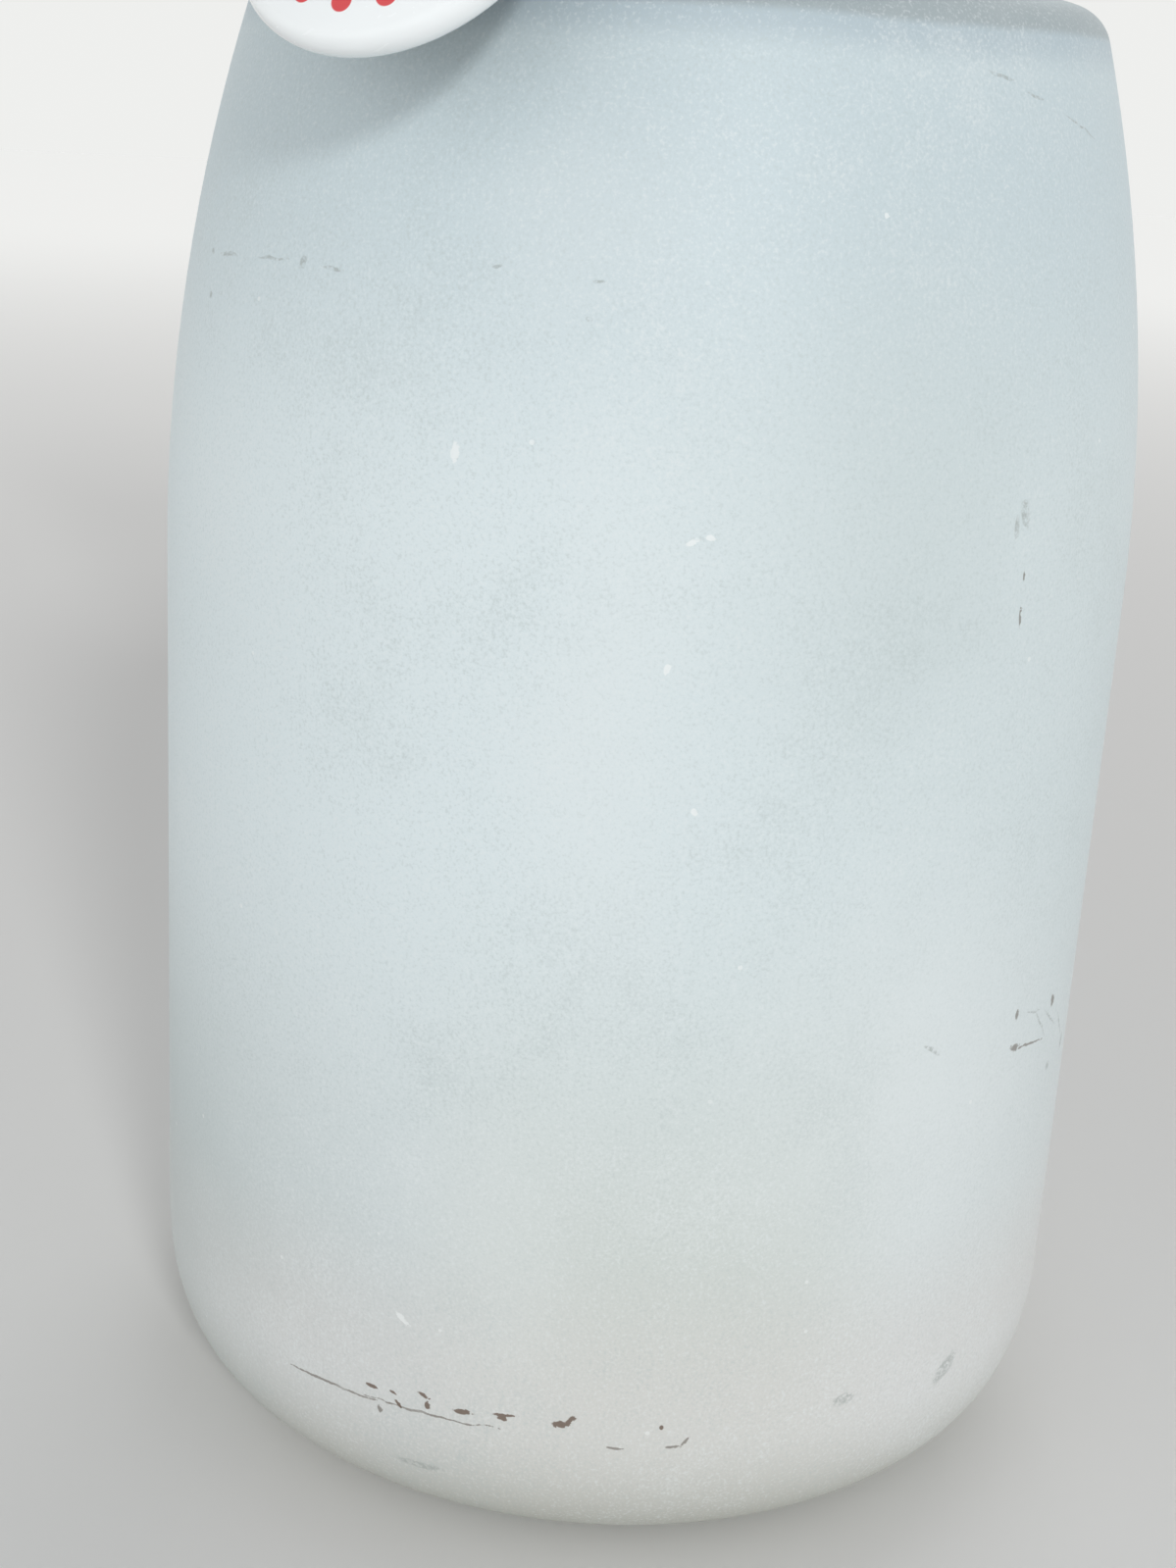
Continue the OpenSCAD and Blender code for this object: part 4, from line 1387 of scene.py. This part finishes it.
@dataclass
class Collar:
    """The rubber-lined steel band on the neck, with its clamp screw, nut and hinge lugs."""

    vessel: Vessel
    seat_c: float = 0.02 * MM
    liner_t: float = 1.5 * MM
    liner_lip: float = 0.8 * MM
    liner_gap: float = 3.0 * MM
    liner_edge: float = 0.5 * MM
    liner_fillet: float = 0.15 * MM
    height: float = 9.0 * MM
    band_t: float = 1.2 * MM
    band_fillet: float = 0.18 * MM
    gap_below: float = 1.0 * MM
    ear_gap: float = 5.0 * MM
    ear_len: float = 11.0 * MM
    ear_t: float = 1.6 * MM
    ear_corner: float = 1.6 * MM
    ear_lap: float = 0.2 * MM
    screw_r: float = 1.45 * MM
    screw_c: float = 0.15 * MM
    screw_head_r: float = 2.8 * MM
    screw_head_h: float = 2.0 * MM
    nut_af: float = 5.5 * MM
    nut_h: float = 2.4 * MM
    screw_tail: float = 1.2 * MM
    screw_lead: float = 0.1 * MM
    screw_edge: float = 0.5 * MM
    thread_pitch: float = 0.5 * MM
    thread_depth: float = 0.22 * MM
    screw_fillet: float = 0.06 * MM
    slot_w: float = 0.8 * MM
    nut_fillet: float = 0.08 * MM
    nut_chamfer: float = 0.45 * MM
    chamfer_slope: float = 0.6
    direction: float = 241.2
    hinge_x: float = 21.5 * MM
    hinge_rise: float = 2.5 * MM
    pin_r: float = 1.2 * MM
    rivet_lap: float = 0.8 * MM
    rivet_side: float = 0.35 * MM
    rivet_crown: float = 0.65 * MM
    lug_r: float = 3.0 * MM
    lug_t: float = 1.6 * MM
    lug_lap: float = 1.0 * MM
    lug_gap: float = 0.2 * MM
    arm_w: float = 8.0 * MM

    def __post_init__(self) -> None:
        """Works out the radii, the heights and the plane that the badge hangs in."""
        vessel = self.vessel
        self.liner_r = vessel.neck_r + self.seat_c + self.liner_t
        self.inner_r = self.liner_r + self.seat_c
        self.outer_r = self.inner_r + self.band_t
        self.low_z = vessel.neck_start(vessel.neck_r, vessel.sweep_r, 0.0) + self.gap_below + self.liner_lip
        self.mid_z = self.low_z + self.height / 2
        self.ear_start = self.inner_r + self.band_t / 3
        self.ear_out = self.ear_gap / 2 + self.ear_t
        self.screw_x = self.outer_r + self.ear_len / 2
        self.hinge = Vector((self.hinge_x, 0.0, self.low_z + self.hinge_rise))
        self.lug_out = self.arm_w / 2 + self.lug_gap + self.lug_t
        self.plane = Matrix.Rotation(math.radians(self.direction), 4, "Z")

    @staticmethod
    def _split_turn(name: str, outline: Sequence[Point], gap: float, radius: float) -> bpy.types.Object:
        """Spins an outline clockwise, seen from above, from one side of the gap at the screw to the other.

        Args:
            name: The new object's name.
            outline: Radius and height of each corner, in metres.
            gap: The gap's width.
            radius: The radius at which the gap is that wide.

        Returns:
            The split ring.
        """
        half = math.asin(gap / 2 / radius)
        return Bench.turned(name, outline, steps=120, closed=True, start=math.pi - half, sweep=math.tau - 2 * half)

    def build_liner(self) -> bpy.types.Object:
        """The split rubber liner, whose soft lips show above and below the band."""
        low = self.low_z - self.liner_lip
        high = self.low_z + self.height + self.liner_lip
        inner = self.vessel.neck_r + self.seat_c
        soft = self.liner_edge
        outline = [(inner, low), (self.liner_r - soft, low), (self.liner_r, low + soft),
                   (self.liner_r, high - soft), (self.liner_r - soft, high), (inner, high)]
        liner = self._split_turn("neck_liner", outline, self.liner_gap, self.liner_r)
        return Bench.soften(liner, self.liner_fillet, angle=50)

    def build_band(self) -> bpy.types.Object:
        """The steel band with its two clamping ears and two hinge lugs."""
        outline = [(self.inner_r, self.low_z), (self.outer_r, self.low_z),
                   (self.outer_r, self.low_z + self.height), (self.inner_r, self.low_z + self.height)]
        band = self._split_turn("neck_band", outline, self.ear_gap, self.inner_r)
        for side in (-1, 1):
            ear = self._plate("ear", -self.ear_start - self.ear_len, -self.ear_start + self.ear_lap,
                              side * (self.ear_gap + self.ear_t) / 2)
            Bench.combine(band, ear, "UNION")
            lug = self._lug(side * (self.lug_out - self.lug_t / 2))
            Bench.combine(band, lug, "UNION")
        pin_hole = Bench.rod("pin_hole", self.hinge, self.pin_r + self.seat_c, 3 * self.lug_out, "Y")
        Bench.combine(band, pin_hole, "DIFFERENCE")
        screw_hole = Bench.rod("screw_hole", (-self.screw_x, 0, self.mid_z), self.screw_r + self.screw_c,
                               3 * self.ear_out, "Y")
        Bench.combine(band, screw_hole, "DIFFERENCE")
        return Bench.soften(band, self.band_fillet, angle=40)

    def _plate(self, name: str, low_x: float, high_x: float, y: float) -> bpy.types.Object:
        """An ear of the clamp: a plate with two rounded outer corners.

        Args:
            name: The new object's name.
            low_x: Where the plate ends outside.
            high_x: Where it ends in the band.
            y: The middle of its thickness.

        Returns:
            The ear.
        """
        corner = self.ear_corner
        low, high = self.low_z, self.low_z + self.height
        outline = [(high_x, low), (high_x, high)]
        outline += arc((low_x + corner, high - corner), corner, 90, 180, steps=6)
        outline += arc((low_x + corner, low + corner), corner, 180, 270, steps=6)
        plate = Bench.prism(name, outline, self.ear_t)
        return Bench.carry(plate, Matrix.Translation((0, y, 0)))

    def _lug(self, y: float) -> bpy.types.Object:
        """A hinge lug: a plate from the band that is rounded about the hinge axis.

        Args:
            y: The middle of its thickness.

        Returns:
            The lug.
        """
        start = self.ear_start - self.lug_lap
        outline = [(start, self.hinge.z + self.lug_r), (start, self.hinge.z - self.lug_r)]
        outline += arc((self.hinge.x, self.hinge.z), self.lug_r, -90, 90, steps=16)
        lug = Bench.prism("lug", outline, self.lug_t)
        return Bench.carry(lug, Matrix.Translation((0, y, 0)))

    def build_screw(self) -> bpy.types.Object:
        """The slotted clamp screw, with threads on the length past the nut."""
        length = 2 * self.ear_out + self.nut_h + self.screw_tail
        pitch, depth, edge = self.thread_pitch, self.thread_depth, self.screw_edge
        outline = [(0.0, -self.screw_head_h), (self.screw_head_r - edge, -self.screw_head_h),
                   (self.screw_head_r, -self.screw_head_h + edge), (self.screw_head_r, 0.0), (self.screw_r, 0.0)]
        start = 2 * self.ear_out - 2 * pitch
        turns = int((length - start) / pitch)
        for i in range(turns):
            outline += [(self.screw_r, start + i * pitch), (self.screw_r - depth, start + (i + 0.5) * pitch)]
        outline += [(self.screw_r - depth, length - self.screw_lead), (self.screw_r - 2 * depth, length),
                    (0.0, length)]
        screw = Bench.turned("clamp_screw", outline, steps=40)
        half, past, across = self.slot_w / 2, 1.0, 20 * MM
        slot = Bench.prism("slot", [(-half, -past), (half, -past), (half, 0.0), (-half, 0.0)], across)
        Bench.carry(slot, Matrix.Translation((0, 0, -self.screw_head_h / 2)))
        Bench.combine(screw, slot, "DIFFERENCE")
        Bench.soften(screw, self.screw_fillet, angle=50)
        place = Matrix.Translation((-self.screw_x, self.ear_out, self.mid_z)) @ Matrix.Rotation(math.pi / 2, 4, "X")
        return Bench.carry(screw, place)

    def build_nut(self) -> bpy.types.Object:
        """The six-sided nut, with its corners turned off."""
        outer = hexagon_r(self.nut_af)
        nut = Bench.rod("clamp_nut", (0, 0, self.nut_h / 2), outer, self.nut_h, sides=6)
        chamfer = self.nut_chamfer
        rise = chamfer * self.chamfer_slope
        blank = Bench.turned("blank", [(0.0, 0.0), (outer - chamfer, 0.0), (outer, rise),
                                       (outer, self.nut_h - rise), (outer - chamfer, self.nut_h),
                                       (0.0, self.nut_h)], steps=48)
        Bench.combine(nut, blank, "INTERSECT")
        bore = Bench.rod("bore", (0, 0, self.nut_h / 2), self.screw_r + self.seat_c, 2 * self.nut_h)
        Bench.combine(nut, bore, "DIFFERENCE")
        Bench.soften(nut, self.nut_fillet, angle=30)
        place = Matrix.Translation((-self.screw_x, -self.ear_out, self.mid_z)) @ Matrix.Rotation(math.pi / 2, 4, "X")
        return Bench.carry(nut, place)

    def build_pin(self) -> bpy.types.Object:
        """The hinge pin, with a domed rivet head at each end."""
        reach, head_r = self.lug_out, self.pin_r + self.rivet_lap
        side, crown = self.rivet_side, self.rivet_crown
        head_h = side + crown
        dome = [(head_r * math.cos(math.radians(a)), reach + side + crown * math.sin(math.radians(a)))
                for a in range(0, 91, 15)]
        half = [(self.pin_r, 0.0), (self.pin_r, reach), (head_r, reach)] + dome
        outline = [(r, -z) for r, z in half[::-1]] + half[1:]
        outline[0] = (0.0, -reach - head_h)
        outline[-1] = (0.0, reach + head_h)
        pin = Bench.turned("hinge_rivet", outline, steps=40)
        Bench.smooth(pin, angle=40)
        return Bench.carry(pin, Matrix.Translation(self.hinge) @ Matrix.Rotation(math.pi / 2, 4, "X"))

    def make(self) -> None:
        """Builds the collar in the hanger's plane, turns it to its direction and dresses it."""
        turn = math.radians(self.direction)
        band = BrushedSteel("collar_steel", Grain.AROUND, gloss=0.30).material()
        bright = BrushedSteel("fastener_steel", Grain.DRAWN, (0.50, 0.505, 0.515), 0.24, turn).material()
        pieces = ((self.build_liner(), Rubber().material(), "liner_rubber", "collar_liner"),
                  (self.build_band(), band, "collar_steel", "neck_collar"),
                  (self.build_screw(), bright, "fastener_steel", "collar_screw"),
                  (self.build_nut(), bright, "fastener_steel", "collar_nut"),
                  (self.build_pin(), bright, "fastener_steel", "hinge_pin"))
        for piece, finish, slot, node in pieces:
            Bench.dress(Bench.carry(piece, self.plane), "flask", finish, slot, node)


# --------------------------------------------------------------------------------------------------- the badge

@dataclass
class Badge:
    """The button badge: domed shell with a rolled rim, crimped collet and spring wire."""

    collar: Collar
    radius: float = 19.0 * MM
    centre_x: float = 61.3 * MM
    rise: float = 8.9 * MM
    tip: float = 35.5
    dome_h: float = 4.0 * MM
    rim_r: float = 1.9 * MM
    rim_z: float = -0.1 * MM
    rim_curl: float = -110.0
    sheet_t: float = 0.3 * MM
    collet_t: float = 0.5 * MM
    collet_w: float = 2.1 * MM
    collet_step: float = 0.15 * MM
    collet_c: float = 0.1 * MM
    collet_fillet: float = 0.04 * MM
    bead_top: float = 0.4 * MM
    bead_foot: float = 0.7 * MM
    bead_back: float = 0.5 * MM
    wire_r: float = 0.45 * MM
    wire_gap: float = 0.15 * MM
    wire_bend: float = 0.35 * MM
    bar_share: float = 0.985
    leg_inset: float = 2.0 * MM
    wire_rise: float = 4.0 * MM
    wire_z: float = -2.6 * MM

    def __post_init__(self) -> None:
        """Works out the badge's place and the rings inside it."""
        tip = math.radians(self.tip)
        self.centre = Vector((self.centre_x, 0.0, self.collar.vessel.shoulder_h + self.rise))
        self.up = Vector((-math.sin(tip), 0.0, math.cos(tip)))
        self.out = Vector((math.cos(tip), 0.0, math.sin(tip)))
        self.place = Matrix.Translation(self.centre) @ Matrix.Rotation(math.pi / 2 - tip, 4, "Y")
        self.mid_r = self.radius - self.rim_r
        self.collet_z = self.rim_z - (self.rim_r - self.sheet_t) + self.collet_step
        self.collet_hole_r = self.mid_r - self.collet_w
        self.ring_r = self.collet_hole_r + self.wire_r + self.wire_gap
        self.ring_z = self.collet_z + self.collet_t + self.wire_r
        self.leg_y = self.ring_r - self.leg_inset

    def spot(self, up: float, out: float) -> Vector:
        """A place in the hanger's plane, by its distances up the badge's face and out of it."""
        return self.centre + up * self.up + out * self.out

    def build_shell(self) -> bpy.types.Object:
        """The pressed face: a dome that runs into a rim, rolled round behind."""
        rise = self.dome_h - self.rim_z
        dome_r = (self.mid_r ** 2 + rise ** 2 - self.rim_r ** 2) / (2 * (rise - self.rim_r))
        end = math.degrees(math.atan2(dome_r - rise, self.mid_r))
        dome_centre, rim_centre = (0.0, self.dome_h - dome_r), (self.mid_r, self.rim_z)
        sides = []
        for inset in (0.0, self.sheet_t):
            dome = arc(dome_centre, dome_r - inset, 90, end, steps=24)
            sides.append(dome + arc(rim_centre, self.rim_r - inset, end, self.rim_curl, steps=28)[1:])
        face, back = sides
        shell = Bench.turned("badge_face", face + back[::-1], steps=128)
        Bench.smooth(shell, angle=50)
        return Bench.carry(shell, self.place)

    def build_collet(self) -> bpy.types.Object:
        """The pressed back ring, with a raised bead round its hole."""
        low, high = self.collet_z, self.collet_z + self.collet_t
        outer, hole = self.mid_r - self.collet_c, self.collet_hole_r
        step = self.collet_step
        outline = [(hole, low + step), (hole + self.bead_back, low), (outer, low), (outer, high - step),
                   (hole + self.bead_foot, high - step), (hole + self.bead_top, high), (hole, high)]
        collet = Bench.turned("badge_back_ring", outline, steps=96, closed=True)
        return Bench.carry(Bench.soften(collet, self.collet_fillet, angle=40), self.place)

    def build_wire(self) -> bpy.types.Object:
        """The spring wire: a ring behind the rim, two bent legs and the straight length across."""
        ring_y = math.sqrt(self.ring_r ** 2 - self.wire_rise ** 2)
        leg_y, bend = self.leg_y, self.wire_bend
        half = [(ring_y, self.ring_z), (leg_y + bend, self.ring_z), (leg_y, self.ring_z - bend),
                (leg_y, self.wire_z + bend), (leg_y - bend, self.wire_z)]
        path = [Vector((-self.wire_rise, -y, z)) for y, z in half]
        path += [Vector((-self.wire_rise, y, z)) for y, z in half[::-1]]
        bar = Bench.wire("badge_wire", path, closed=False)
        bpy.ops.object.mode_set(mode="OBJECT")
        Bench.choose(bar)
        bpy.ops.object.convert(target="CURVE")
        bar.data.bevel_depth = self.wire_r * self.bar_share
        bar.data.bevel_resolution = 5
        bar.data.use_fill_caps = True
        bpy.ops.object.convert(target="MESH")
        Bench.clear()
        bpy.ops.mesh.primitive_torus_add(major_radius=self.ring_r, minor_radius=self.wire_r, major_segments=96,
                                         minor_segments=16, location=(0, 0, self.ring_z))
        ring = Bench.named("wire_ring")
        wire = Bench.combine(bar, ring, "UNION")
        Bench.smooth(wire, angle=60)
        return Bench.carry(wire, self.place)

    def make(self) -> None:
        """Builds and dresses the badge's three pieces."""
        turn = math.radians(self.collar.direction)
        plane = self.collar.plane
        face = BadgeFace(to_badge=(plane @ self.place).inverted()).material()
        wire = BrushedSteel("badge_wire", Grain.DRAWN, (0.60, 0.60, 0.585), 0.22, turn).material()
        pieces = ((self.build_shell(), face, "badge_white", "badge_shell"),
                  (self.build_collet(), Tinplate().material(), "badge_tinplate", "badge_collet"),
                  (self.build_wire(), wire, "badge_wire", "badge_pin"))
        for piece, finish, slot, node in pieces:
            Bench.dress(Bench.carry(piece, plane), "badge", finish, slot, node)


@dataclass
class Hanger:
    """The bent steel arm from the hinge to the badge's wire, and the rubber bumper under it."""

    badge: Badge
    arm_t: float = 1.0 * MM
    arm_fillet: float = 0.14 * MM
    running_c: float = 0.05 * MM
    rest_gap: float = 0.3 * MM
    knuckle_inset: float = 0.6 * MM
    eye_t: float = 1.0 * MM
    bend_rise: float = 1.5 * MM
    bumper_pos: float = 22.0 * MM
    bumper_r: float = 3.5 * MM
    bumper_edge: float = 0.4 * MM
    waist_top: float = 1.6 * MM
    waist_depth: float = 0.5 * MM
    stem_r: float = 1.5 * MM
    stem_c: float = 0.02 * MM
    cap_r: float = 2.7 * MM
    cap_h: float = 1.2 * MM
    cap_edge: float = 0.6 * MM
    tongue_inset: float = 1.0 * MM
    tongue_corner: float = 0.05 * MM

    def __post_init__(self) -> None:
        """Works out the places of the eye, the bend and the tongue's end, and the arm's angle."""
        badge, collar = self.badge, self.badge.collar
        self.hinge = collar.hinge
        self.tongue_z = badge.rim_z - badge.rim_r - self.rest_gap - self.arm_t / 2
        self.eye = badge.spot(badge.wire_rise, badge.wire_z)
        self.bend = badge.spot(badge.wire_rise + self.bend_rise, self.tongue_z)
        self.end = badge.spot(-badge.mid_r + self.tongue_inset, self.tongue_z)
        run = self.bend - self.hinge
        self.angle = math.atan2(run.z, run.x)
        self.along = Vector((math.cos(self.angle), 0.0, math.sin(self.angle)))
        self.above = Vector((-math.sin(self.angle), 0.0, math.cos(self.angle)))

    def build_arm(self) -> bpy.types.Object:
        """The strip with its rolled knuckle and eye, bored for the pin, the wire and the bumper."""
        collar, badge = self.badge.collar, self.badge
        width = collar.arm_w
        eye_r = badge.wire_r + self.running_c + self.eye_t
        bore = Bench.rod("stem_bore", (self.bumper_pos, 0, 0), self.stem_r + self.stem_c, 4 * self.arm_t)
        Bench.carry(bore, self._arm_place())
        arm = self._strip("arm", self.hinge, self.bend, width)
        added = (self._strip("tongue", self.bend, self.end, width, rounded=True),
                 Bench.rod("elbow", self.bend, self.arm_t / 2, width, "Y", sides=24),
                 Bench.rod("knuckle", self.hinge, collar.lug_r - self.knuckle_inset, width, "Y"),
                 Bench.rod("eye", self.eye, eye_r, width, "Y", sides=32))
        cut = (Bench.rod("pin_bore", self.hinge, collar.pin_r + self.running_c, 2 * width, "Y"),
               Bench.rod("wire_bore", self.eye, badge.wire_r + self.running_c, 2 * width, "Y", sides=24),
               bore)
        for tool in added:
            Bench.combine(arm, tool, "UNION")
        for tool in cut:
            Bench.combine(arm, tool, "DIFFERENCE")
        return Bench.soften(arm, self.arm_fillet, angle=35)

    def _arm_place(self) -> Matrix:
        """The frame whose X runs along the arm from the hinge."""
        return Matrix.Translation(self.hinge) @ Matrix.Rotation(-self.angle, 4, "Y")

    def _strip(self, name: str, start: Vector, end: Vector, width: float, rounded: bool = False) -> bpy.types.Object:
        """A flat strip between two places of the hanger's plane.

        Args:
            name: The new object's name.
            start: The place where it starts.
            end: The place where it ends.
            width: Its width.
            rounded: Whether its far end is round.

        Returns:
            The strip.
        """
        run = end - start
        length = run.length
        turn = math.atan2(run.z, run.x)
        half = self.arm_t / 2
        strip = Bench.prism(name, [(0, -half), (length, -half), (length, half), (0, half)], width)
        if rounded:
            straight = length - (width / 2 - self.tongue_corner)
            before = -1.0 * MM
            rounder = Bench.rod("rounder", (straight, 0, 0), width / 2, 4 * half)
            keep = Bench.prism("keep", [(before, -2 * half), (straight, -2 * half),
                                        (straight, 2 * half), (before, 2 * half)], 2 * width)
            Bench.combine(keep, rounder, "UNION")
            Bench.combine(strip, keep, "INTERSECT")
        place = Matrix.Translation(start) @ Matrix.Rotation(-turn, 4, "Y")
        return Bench.carry(strip, place)

    def bumper_length(self) -> float:
        """The length at which the bumper's round end stays just off the shoulder."""
        vessel = self.badge.collar.vessel
        slope = math.radians(vessel.shoulder_slope)
        top = self.hinge + self.bumper_pos * self.along - self.arm_t / 2 * self.above
        fall = math.cos(self.angle) - math.tan(slope) * math.sin(self.angle)
        drop = (top.z - vessel.shoulder_z(top.x, 0.0)) / fall
        return drop + self.bumper_r - (self.rest_gap + self.bumper_r) / math.cos(self.angle + slope)

    def build_bumper(self) -> bpy.types.Object:
        """The bumper: a flat cap over the arm, a stem through it and a round-ended foot with a moulded waist."""
        half, foot_r = self.arm_t / 2, self.bumper_r
        cap_top = half + self.cap_h
        waist = -half - self.waist_top
        foot_z = -half - self.bumper_length() + foot_r
        outline = [(0.0, cap_top), (self.cap_r - self.cap_edge, cap_top), (self.cap_r, cap_top - self.cap_edge),
                   (self.cap_r, half), (self.stem_r, half), (self.stem_r, -half), (foot_r - self.bumper_edge, -half),
                   (foot_r, -half - self.bumper_edge), (foot_r, waist),
                   (foot_r - self.waist_depth, waist - self.waist_depth), (foot_r, waist - 2 * self.waist_depth)]
        outline += arc((0.0, foot_z), foot_r, 0, -90, steps=12)
        bumper = Bench.turned("arm_bumper_rubber", outline, steps=48)
        Bench.smooth(bumper, angle=40)
        return Bench.carry(bumper, self._arm_place() @ Matrix.Translation((self.bumper_pos, 0, 0)))

    def make(self) -> None:
        """Builds and dresses the arm and its bumper."""
        collar = self.badge.collar
        steel = BrushedSteel("arm_steel", Grain.ALONG, gloss=0.28, turn=math.radians(collar.direction),
                             tilt=self.angle).material()
        Bench.dress(Bench.carry(self.build_arm(), collar.plane), "hanger", steel, "collar_steel", "hanger_arm")
        rubber = Rubber((0.018, 0.018, 0.020)).material()
        Bench.dress(Bench.carry(self.build_bumper(), collar.plane), "hanger", rubber, "liner_rubber", "arm_bumper")


# --------------------------------------------------------------------------------------------------- the studio

@dataclass(frozen=True)
class Lamp:
    """A soft distant lamp, placed by the side it shines from (degrees right of the front) and its elevation."""

    name: str
    bearing: float
    elevation: float
    power: float
    spread: float

    def add(self) -> None:
        """Adds the lamp to the scene, aimed at the origin. Its spread, in degrees, softens its shadows."""
        data = bpy.data.lights.new(self.name, "SUN")
        data.energy = self.power
        data.angle = math.radians(self.spread)
        lamp = bpy.data.objects.new(self.name, data)
        side, rise = math.radians(self.bearing), math.radians(self.elevation)
        source = Vector((math.sin(side) * math.cos(rise), -math.cos(side) * math.cos(rise), math.sin(rise)))
        lamp.rotation_euler = (-source).to_track_quat("-Z", "Y").to_euler()
        bpy.context.scene.collection.objects.link(lamp)


LAMPS = (
    Lamp("key", 17.5, 25.0, 0.95, 8.0),
    Lamp("side", -50.0, 15.0, 0.18, 60.0),
    Lamp("back", 160.0, 45.0, 0.35, 40.0),
)


@dataclass
class Studio:
    """The pale floor, the soft sky and the camera."""

    camera_place: Vector = field(default_factory=lambda: Vector((-5.8, -290.3, 179.2)) * MM)
    pitch: float = 17.9
    roll: float = 3.34
    focal: float = 49.9
    sensor: float = 36.0
    floor_r: float = 4.0
    floor_colour: Colour = (0.84, 0.84, 0.83)
    backdrop: Colour = (0.86, 0.865, 0.85)
    far_glow: Colour = (0.294, 0.298, 0.290)
    fade: Span = (0.25, 2.2)
    mottle_pitch: float = 200 * MM
    mottle_shade: float = 0.96
    mottle_share: float = 0.1
    sky_level: float = 1.12
    sky_top: float = 0.12

    def add_camera(self) -> None:
        """A camera in front, just under the shoulder's height, tipped down and rolled a little."""
        data = bpy.data.cameras.new("camera")
        data.lens = self.focal
        data.sensor_width = self.sensor
        data.clip_start = 10 * MM
        camera = bpy.data.objects.new("camera", data)
        bpy.context.scene.collection.objects.link(camera)
        down, lean = math.radians(self.pitch), math.radians(self.roll)
        level, rise = Vector((1, 0, 0)), Vector((0, math.sin(down), math.cos(down)))
        right = math.cos(lean) * level + math.sin(lean) * rise
        up = -math.sin(lean) * level + math.cos(lean) * rise
        camera.matrix_world = Matrix.Translation(self.camera_place) @ Matrix(
            (right, up, right.cross(up))).transposed().to_4x4()
        bpy.context.scene.camera = camera

    def add_floor(self) -> None:
        """A wide round floor that brightens with distance until it meets the backdrop."""
        Bench.clear()
        bpy.ops.mesh.primitive_circle_add(vertices=96, radius=self.floor_r, fill_type="NGON", location=(0, 0, 0))
        floor = Bench.named("floor")
        sheet = MaterialSheet("floor")
        reach = sheet.signal("ShaderNodeVectorMath", {"operation": "LENGTH"}, {0: sheet.place}, "Value")
        mottle = sheet.noise(self.mottle_pitch, detail=3.0)
        shaded = tuple(self.mottle_shade * c for c in self.floor_colour)
        colour = sheet.mix(mottle * self.mottle_share, self.floor_colour, shaded)
        glow = sheet.mix(reach.ramp(*self.fade), (0.0, 0.0, 0.0), self.far_glow)
        floor.data.materials.append(sheet.finish(Base_Color=colour, Roughness=0.9, Specular_IOR_Level=0.0,
                                                 Emission_Color=glow, Emission_Strength=1.0))

    def add_world(self) -> None:
        """A soft sky, dimmer overhead, for light, and the pale backdrop where the camera, gloss or glass sees it."""
        world = bpy.data.worlds.new("studio")
        world.use_nodes = True
        sheet = NodeSheet(world.node_tree, "Generated")
        _, _, height = sheet.axes()
        inputs = {"Value": height, "To Min": self.sky_level, "To Max": self.sky_top}
        level = sheet.signal("ShaderNodeMapRange", None, inputs)
        sky = sheet.node("ShaderNodeBackground", None, {"Color": (1.0, 1.0, 1.0), "Strength": level}).outputs[0]
        backdrop = sheet.node("ShaderNodeBackground", None, {"Color": self.backdrop}).outputs[0]
        rays = sheet.node("ShaderNodeLightPath").outputs
        seen = Signal(sheet, rays["Is Camera Ray"])
        for kind in ("Is Glossy Ray", "Is Transmission Ray"):
            seen = seen.at_least(Signal(sheet, rays[kind]))
        shown = sheet.node("ShaderNodeMixShader", None, {0: seen, 1: sky, 2: backdrop}).outputs[0]
        sheet.node("ShaderNodeOutputWorld", None, {"Surface": shown})
        bpy.context.scene.world = world

    def make(self) -> None:
        """Sets the whole studio up."""
        self.add_camera()
        self.add_world()
        self.add_floor()
        for lamp in LAMPS:
            lamp.add()
        bpy.context.scene.view_settings.view_transform = "Standard"


def main() -> None:
    """Builds the studio and then the flask, piece by piece."""
    Studio().make()
    vessel = Vessel()
    vessel.make()
    Stopper(vessel).make()
    collar = Collar(vessel)
    collar.make()
    badge = Badge(collar)
    badge.make()
    Hanger(badge).make()
    Bench.clear()


if __name__ == "__main__":
    main()
